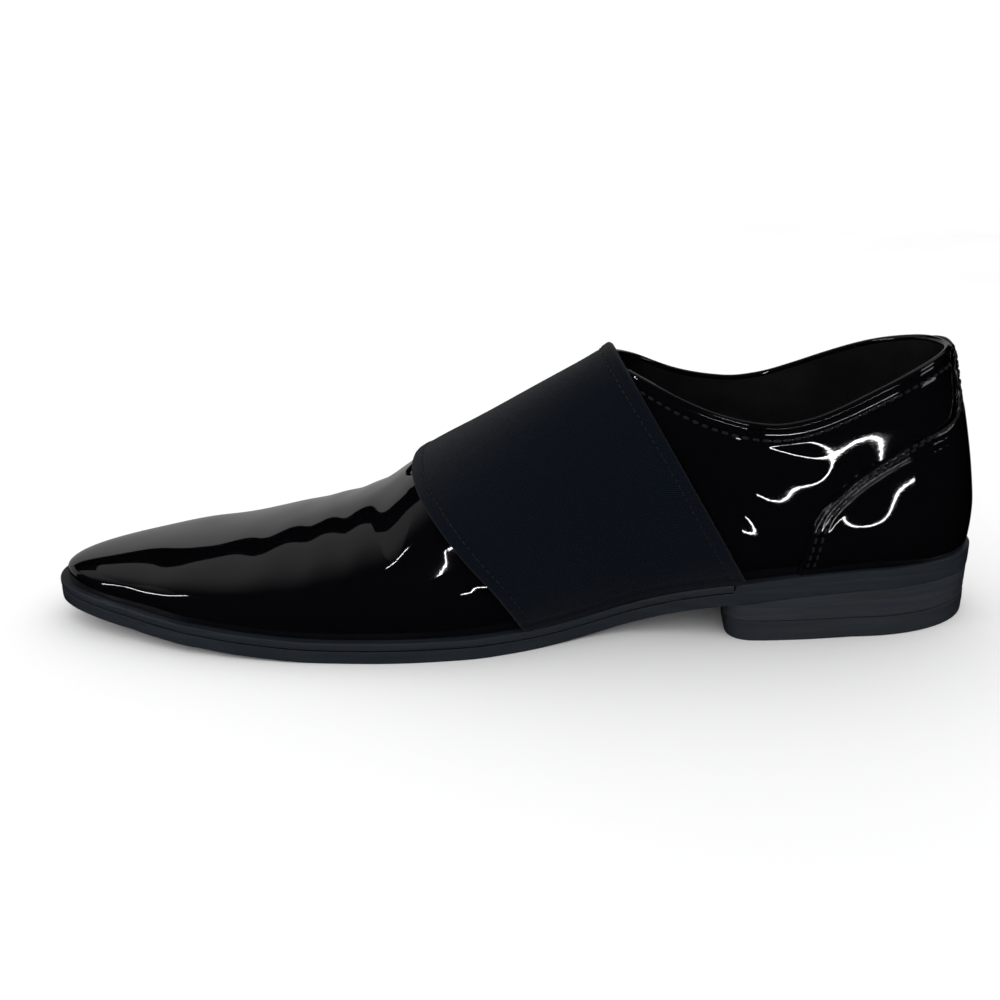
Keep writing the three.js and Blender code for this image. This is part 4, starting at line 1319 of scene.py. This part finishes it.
def make_outsole():
    """Outsole: the sole plate along the sole line, rebated under the welt, with grooves in the forefoot."""
    q = ring_places(760)
    p = station_of(q)[0]
    rebate = np.where(p > BREAST_AT - GAP, WELT_THICKNESS + GAP, 0.0)
    core = WELT_WIDTH + GAP
    rings = [rim(q, core, sole_top), rim(q, core, sole_top, -rebate)]
    thickness = SOLE_THICKNESS - rebate
    seat = smooth_step((BREAST_AT - p) / 2)
    for inset, height in side_profile(1.0, *SOLE_ROUND):
        groove = -seat * trench(height, *SEAT_GROOVE)
        rings.append(rim(q, inset * SOLE_THICKNESS * 0.6 + groove, sole_line, height * thickness))
    rings += [rim(q, inset, sole_line) for inset in TREAD_RINGS]
    top = ladder(rings[0], 8)
    top[..., 2] = sole_top(top[..., 0])
    low = ladder(rings[-1], TREAD_STEPS)
    share = np.linspace(0, 1, TREAD_STEPS + 1)[None, :]
    span = np.linalg.norm(low[:, :1, :2] - low[:, -1:, :2], axis=-1)
    from_rim = TREAD_RINGS[-1] + np.minimum(share, 1 - share) * span
    low[..., 2] = sole_line(low[..., 0]) + tread_relief(low[..., 0], low[..., 1], from_rim)
    add_piece("outsole_plate", plate(rings, top, low), EDGE, ["outsole"], crisp=35)


def make_welt():
    """Welt: a flat strip along the sole's rim, from the heel breast round the toe, with rounded edges."""
    q = np.linspace(loop_at(BREAST_AT, 1.0), loop_at(BREAST_AT, -1.0), WELT_POINTS)
    strip = [(WELT_WIDTH, WELT_THICKNESS), *side_profile(WELT_THICKNESS, WELT_CORNER), (WELT_WIDTH, 0.0)]
    loop = np.stack([rim(q, inset, sole_top, height - WELT_THICKNESS) for inset, height in strip], axis=1)
    rows, cols = loop.shape[:2]
    quads = [grid_quads(rows, cols, wrap_cols=True)]
    points = [loop.reshape(-1, 3)]
    start = rows * cols
    for end in (0, -1):
        middle = loop[end].mean(0)
        points.append(middle[None])
        ring = np.arange(cols) + (0 if end == 0 else (rows - 1) * cols)
        quads.append(np.stack([ring, np.roll(ring, -1), np.full(cols, start), np.full(cols, start)], 1))
        start += 1
    strip = (np.concatenate(points), np.concatenate(quads))
    add_piece("welt_strip", strip, EDGE, ["welt"], crisp=40)


SEAM = 0.06
STACK_INSET = 0.12
STACK_RINGS = 40
STACK_LINES = (0.30, 0.64)
STACK_GROOVE = (0.08, 0.03)
STACK_CORNER = (0.22, 0.03)
TREAD_CORNER = 0.3


def heel_ring(inset, count=360):
    """Plan outline of the heel: the sole's edge as far as the breast, whose inner front corner is round."""
    q = np.linspace(0, 2 * HALF_LOOP, 4000, endpoint=False)
    edge = sole_outline(q, inset)
    slant = math.tan(BREAST_TURN)
    edge = edge[in_order(edge[:, 0] < BREAST_AT + slant * edge[:, 1])]
    outer_corner, inner_corner = edge[0], edge[-1]
    start = inner_corner[1] - BREAST_CORNER
    t = np.linspace(0, 1, 60)[:, None]
    before_corner = inner_corner - np.array([BREAST_CORNER, 0])
    from_edge = edge[np.argmin(np.linalg.norm(edge - before_corner, axis=1))]
    clear = ~((edge[:, 0] > from_edge[0]) & (edge[:, 1] > 0))
    breast = np.array([BREAST_AT + slant * start, start])
    corner = (1 - t) ** 2 * from_edge + 2 * t * (1 - t) * inner_corner + t * t * breast
    closed = np.concatenate([edge[clear], corner, outer_corner[None]])
    run = run_along(closed)
    at = np.linspace(0, run[-1], count, endpoint=False)
    return read_off(at, run, closed)


def heel_block(name, rings, material, node, levels):
    """Closed block: rings stacked down its side and drawn in to the middle, each face at its level."""
    shares = np.linspace(1, 0, 22)[1:]
    ends = rings[0], rings[-1]
    high, low = ([ring.mean(0) * (1 - share) + ring * share for share in shares] for ring in ends)
    stack = np.array(high[::-1] + rings + low)
    stack[: len(shares), :, 2] = levels[0](stack[: len(shares), :, 0])
    stack[-len(shares):, :, 2] = levels[1](stack[-len(shares):, :, 0])
    block = (stack, grid_quads(stack.shape[0], stack.shape[1], wrap_cols=True))
    add_piece(name, block, material, [node], crisp=35)


def heel_layer(inset, z):
    """Outline of the heel at a height, its front moved forward with height as the breast leans."""
    ring = heel_ring(inset)
    share = np.clip(ring[:, 0] - HEEL_AXIS, 0, None) / (BREAST_AT - HEEL_AXIS)
    x = ring[:, 0] + share * math.tan(BREAST_LEAN) * (z - HEEL_RISE)
    return np.column_stack([x, ring[:, 1], np.broadcast_to(z, x.shape)])


def make_heel():
    """Heel: stacked layers under the seat, and a top piece of rubber that stands on the floor."""
    low = TOP_PIECE_THICKNESS + SEAM
    high = sole_line(heel_ring(STACK_INSET)[:, 0]) - SEAM
    rings = []
    for share in np.linspace(1, 0, STACK_RINGS):
        groove = -sum(trench(share, line, *STACK_GROOVE) for line in STACK_LINES)
        corner = -rolled_down(min(share, 1 - share), *STACK_CORNER)
        rings.append(heel_layer(STACK_INSET + groove + corner, low + share * (high - low)))
    levels = (lambda x: sole_line(x) - SEAM, lambda x: low)
    heel_block("heel_stack", rings, STACK, "heel_lift", levels)
    rings = [heel_layer(inset, height) for inset, height in side_profile(TOP_PIECE_THICKNESS, TREAD_CORNER)]
    levels = (lambda x: TOP_PIECE_THICKNESS, lambda x: 0.0)
    heel_block("heel_tread", rings, RUBBER, "heel_top_piece", levels)


# Camera, floor and light

CAMERA_PLACE = (0.0036, 0.3235, 0.149)
CAMERA_TILT = math.radians(19.6)
CAMERA_ROLL = math.radians(0.4)
CAMERA_LENS = 37.3
FLOOR_SIZE = 3.9

# Lamps: the two ends of each panel's middle line, its width across that line, where it faces, how bright
# it looks, and the share of its width over which the side nearer to the camera fades out
LAMPS = table(
    "name start end width aim glow fade",
    ("rear_panel", (-1.6, -2, 0), (2.8, -2, 0.35), 1.7, (0.6, 0, 0.175), 0.185, 0),
    ("ceiling_panel", (-1.3, -0.6, 1.5), (1.42, -0.6, 1.5), 1.9, (0.06, -0.6, 0), 0.145, 0.6),
    ("ceiling_wing", (1.42, -0.15, 1.5), (2.7, -0.15, 1.5), 1.7, (2.06, -0.15, 0), 0.145, 0.6),
    ("toe_panel", (2.7, -1.9, 0.45), (2.7, -0.3, 0.45), 1.8, (0, -1.1, 0.45), 0.16, 0),
    ("toe_tube", (1.40, 0.53, 0.30), (0.90, 0.36, 1.09), 0.016, (0, 0, 0), 22, 0),
    ("front_tube", (0.08, 1.1, 0.35), (0.26, 1.1, 0.90), 0.014, (0, 0, 0), 22, 0),
    ("low_tube", (-1.0, 0.72, -0.12), (-0.12, 0.72, -0.12), 0.008, (-0.3, 0, 0.03), 26, 0),
    ("heel_window", (-1.3, 0.25, 0.20), (-1.3, 0.25, 0.75), 0.28, (0, 0, 0.1), 0.8, 0),
)
AIR_STRENGTH = 1.1


def make_camera():
    """Camera at the photograph's angle to the shoe, from its inner side."""
    camera = add_object("camera", bpy.data.cameras.new("camera"))
    camera.location = CAMERA_PLACE
    camera.rotation_euler = (math.pi / 2 - CAMERA_TILT, CAMERA_ROLL, math.pi)
    camera.data.lens = CAMERA_LENS
    camera.data.sensor_width = 36
    camera.data.clip_start = 0.01
    bpy.context.scene.camera = camera


def make_floor():
    """Plain pale floor under the shoe, which the patent leather doesn't mirror."""
    half = FLOOR_SIZE / 2
    mesh = bpy.data.meshes.new("floor")
    corners = [(-half, -half, 0), (half, -half, 0), (half, half, 0), (-half, half, 0)]
    mesh.from_pydata(corners, [], [(0, 1, 2, 3)])
    mesh.materials.append(studio_floor())
    floor = add_object("floor", mesh)
    floor.visible_glossy = False


def fade_lamp(data, share):
    """Lets a lamp's brightness fall off smoothly over a share of its width."""
    data.use_nodes = True
    nodes, links = data.node_tree.nodes, data.node_tree.links
    geometry = nodes.new("ShaderNodeNewGeometry")
    split = nodes.new("ShaderNodeSeparateXYZ")
    falloff = nodes.new("ShaderNodeMapRange")
    falloff.interpolation_type = "SMOOTHSTEP"
    falloff.inputs["From Min"].default_value = 1.0
    falloff.inputs["From Max"].default_value = 1.0 - share
    links.new(geometry.outputs["Parametric"], split.inputs["Vector"])
    links.new(split.outputs["Y"], falloff.inputs["Value"])
    links.new(falloff.outputs["Result"], nodes["Emission"].inputs["Strength"])


def make_lights():
    """Soft studio light: even pale air for the floor, and panels and tubes for the leather to mirror."""
    world = bpy.data.worlds.new("studio")
    world.use_nodes = True
    air = world.node_tree.nodes["Background"]
    air.inputs["Color"].default_value = (1, 1, 1, 1)
    air.inputs["Strength"].default_value = AIR_STRENGTH
    world.cycles_visibility.glossy = False
    bpy.context.scene.world = world
    bpy.context.scene.view_settings.view_transform = "Standard"
    for lamp in LAMPS:
        start, end = Vector(lamp["start"]), Vector(lamp["end"])
        middle = (start + end) / 2
        out = (middle - Vector(lamp["aim"])).normalized()
        across = (end - start).normalized()
        across = (across - across.dot(out) * out).normalized()
        data = bpy.data.lights.new(lamp["name"], "AREA")
        data.shape = "RECTANGLE"
        data.size = (end - start).length
        data.size_y = lamp["width"]
        data.energy = 4 * data.size * data.size_y * lamp["glow"]
        if lamp["fade"]:
            fade_lamp(data, lamp["fade"])
        light = add_object(lamp["name"], data)
        turn = Matrix((across, out.cross(across), out)).transposed()
        light.matrix_world = Matrix.Translation(middle) @ turn.to_4x4()
        light.visible_camera = False


make_camera()
make_floor()
make_lights()
upper = make_upper()
make_piping(*upper)
make_collar_stitches(*upper)
make_counter()
make_band()
make_tongue()
make_insole()
make_outsole()
make_welt()
make_heel()
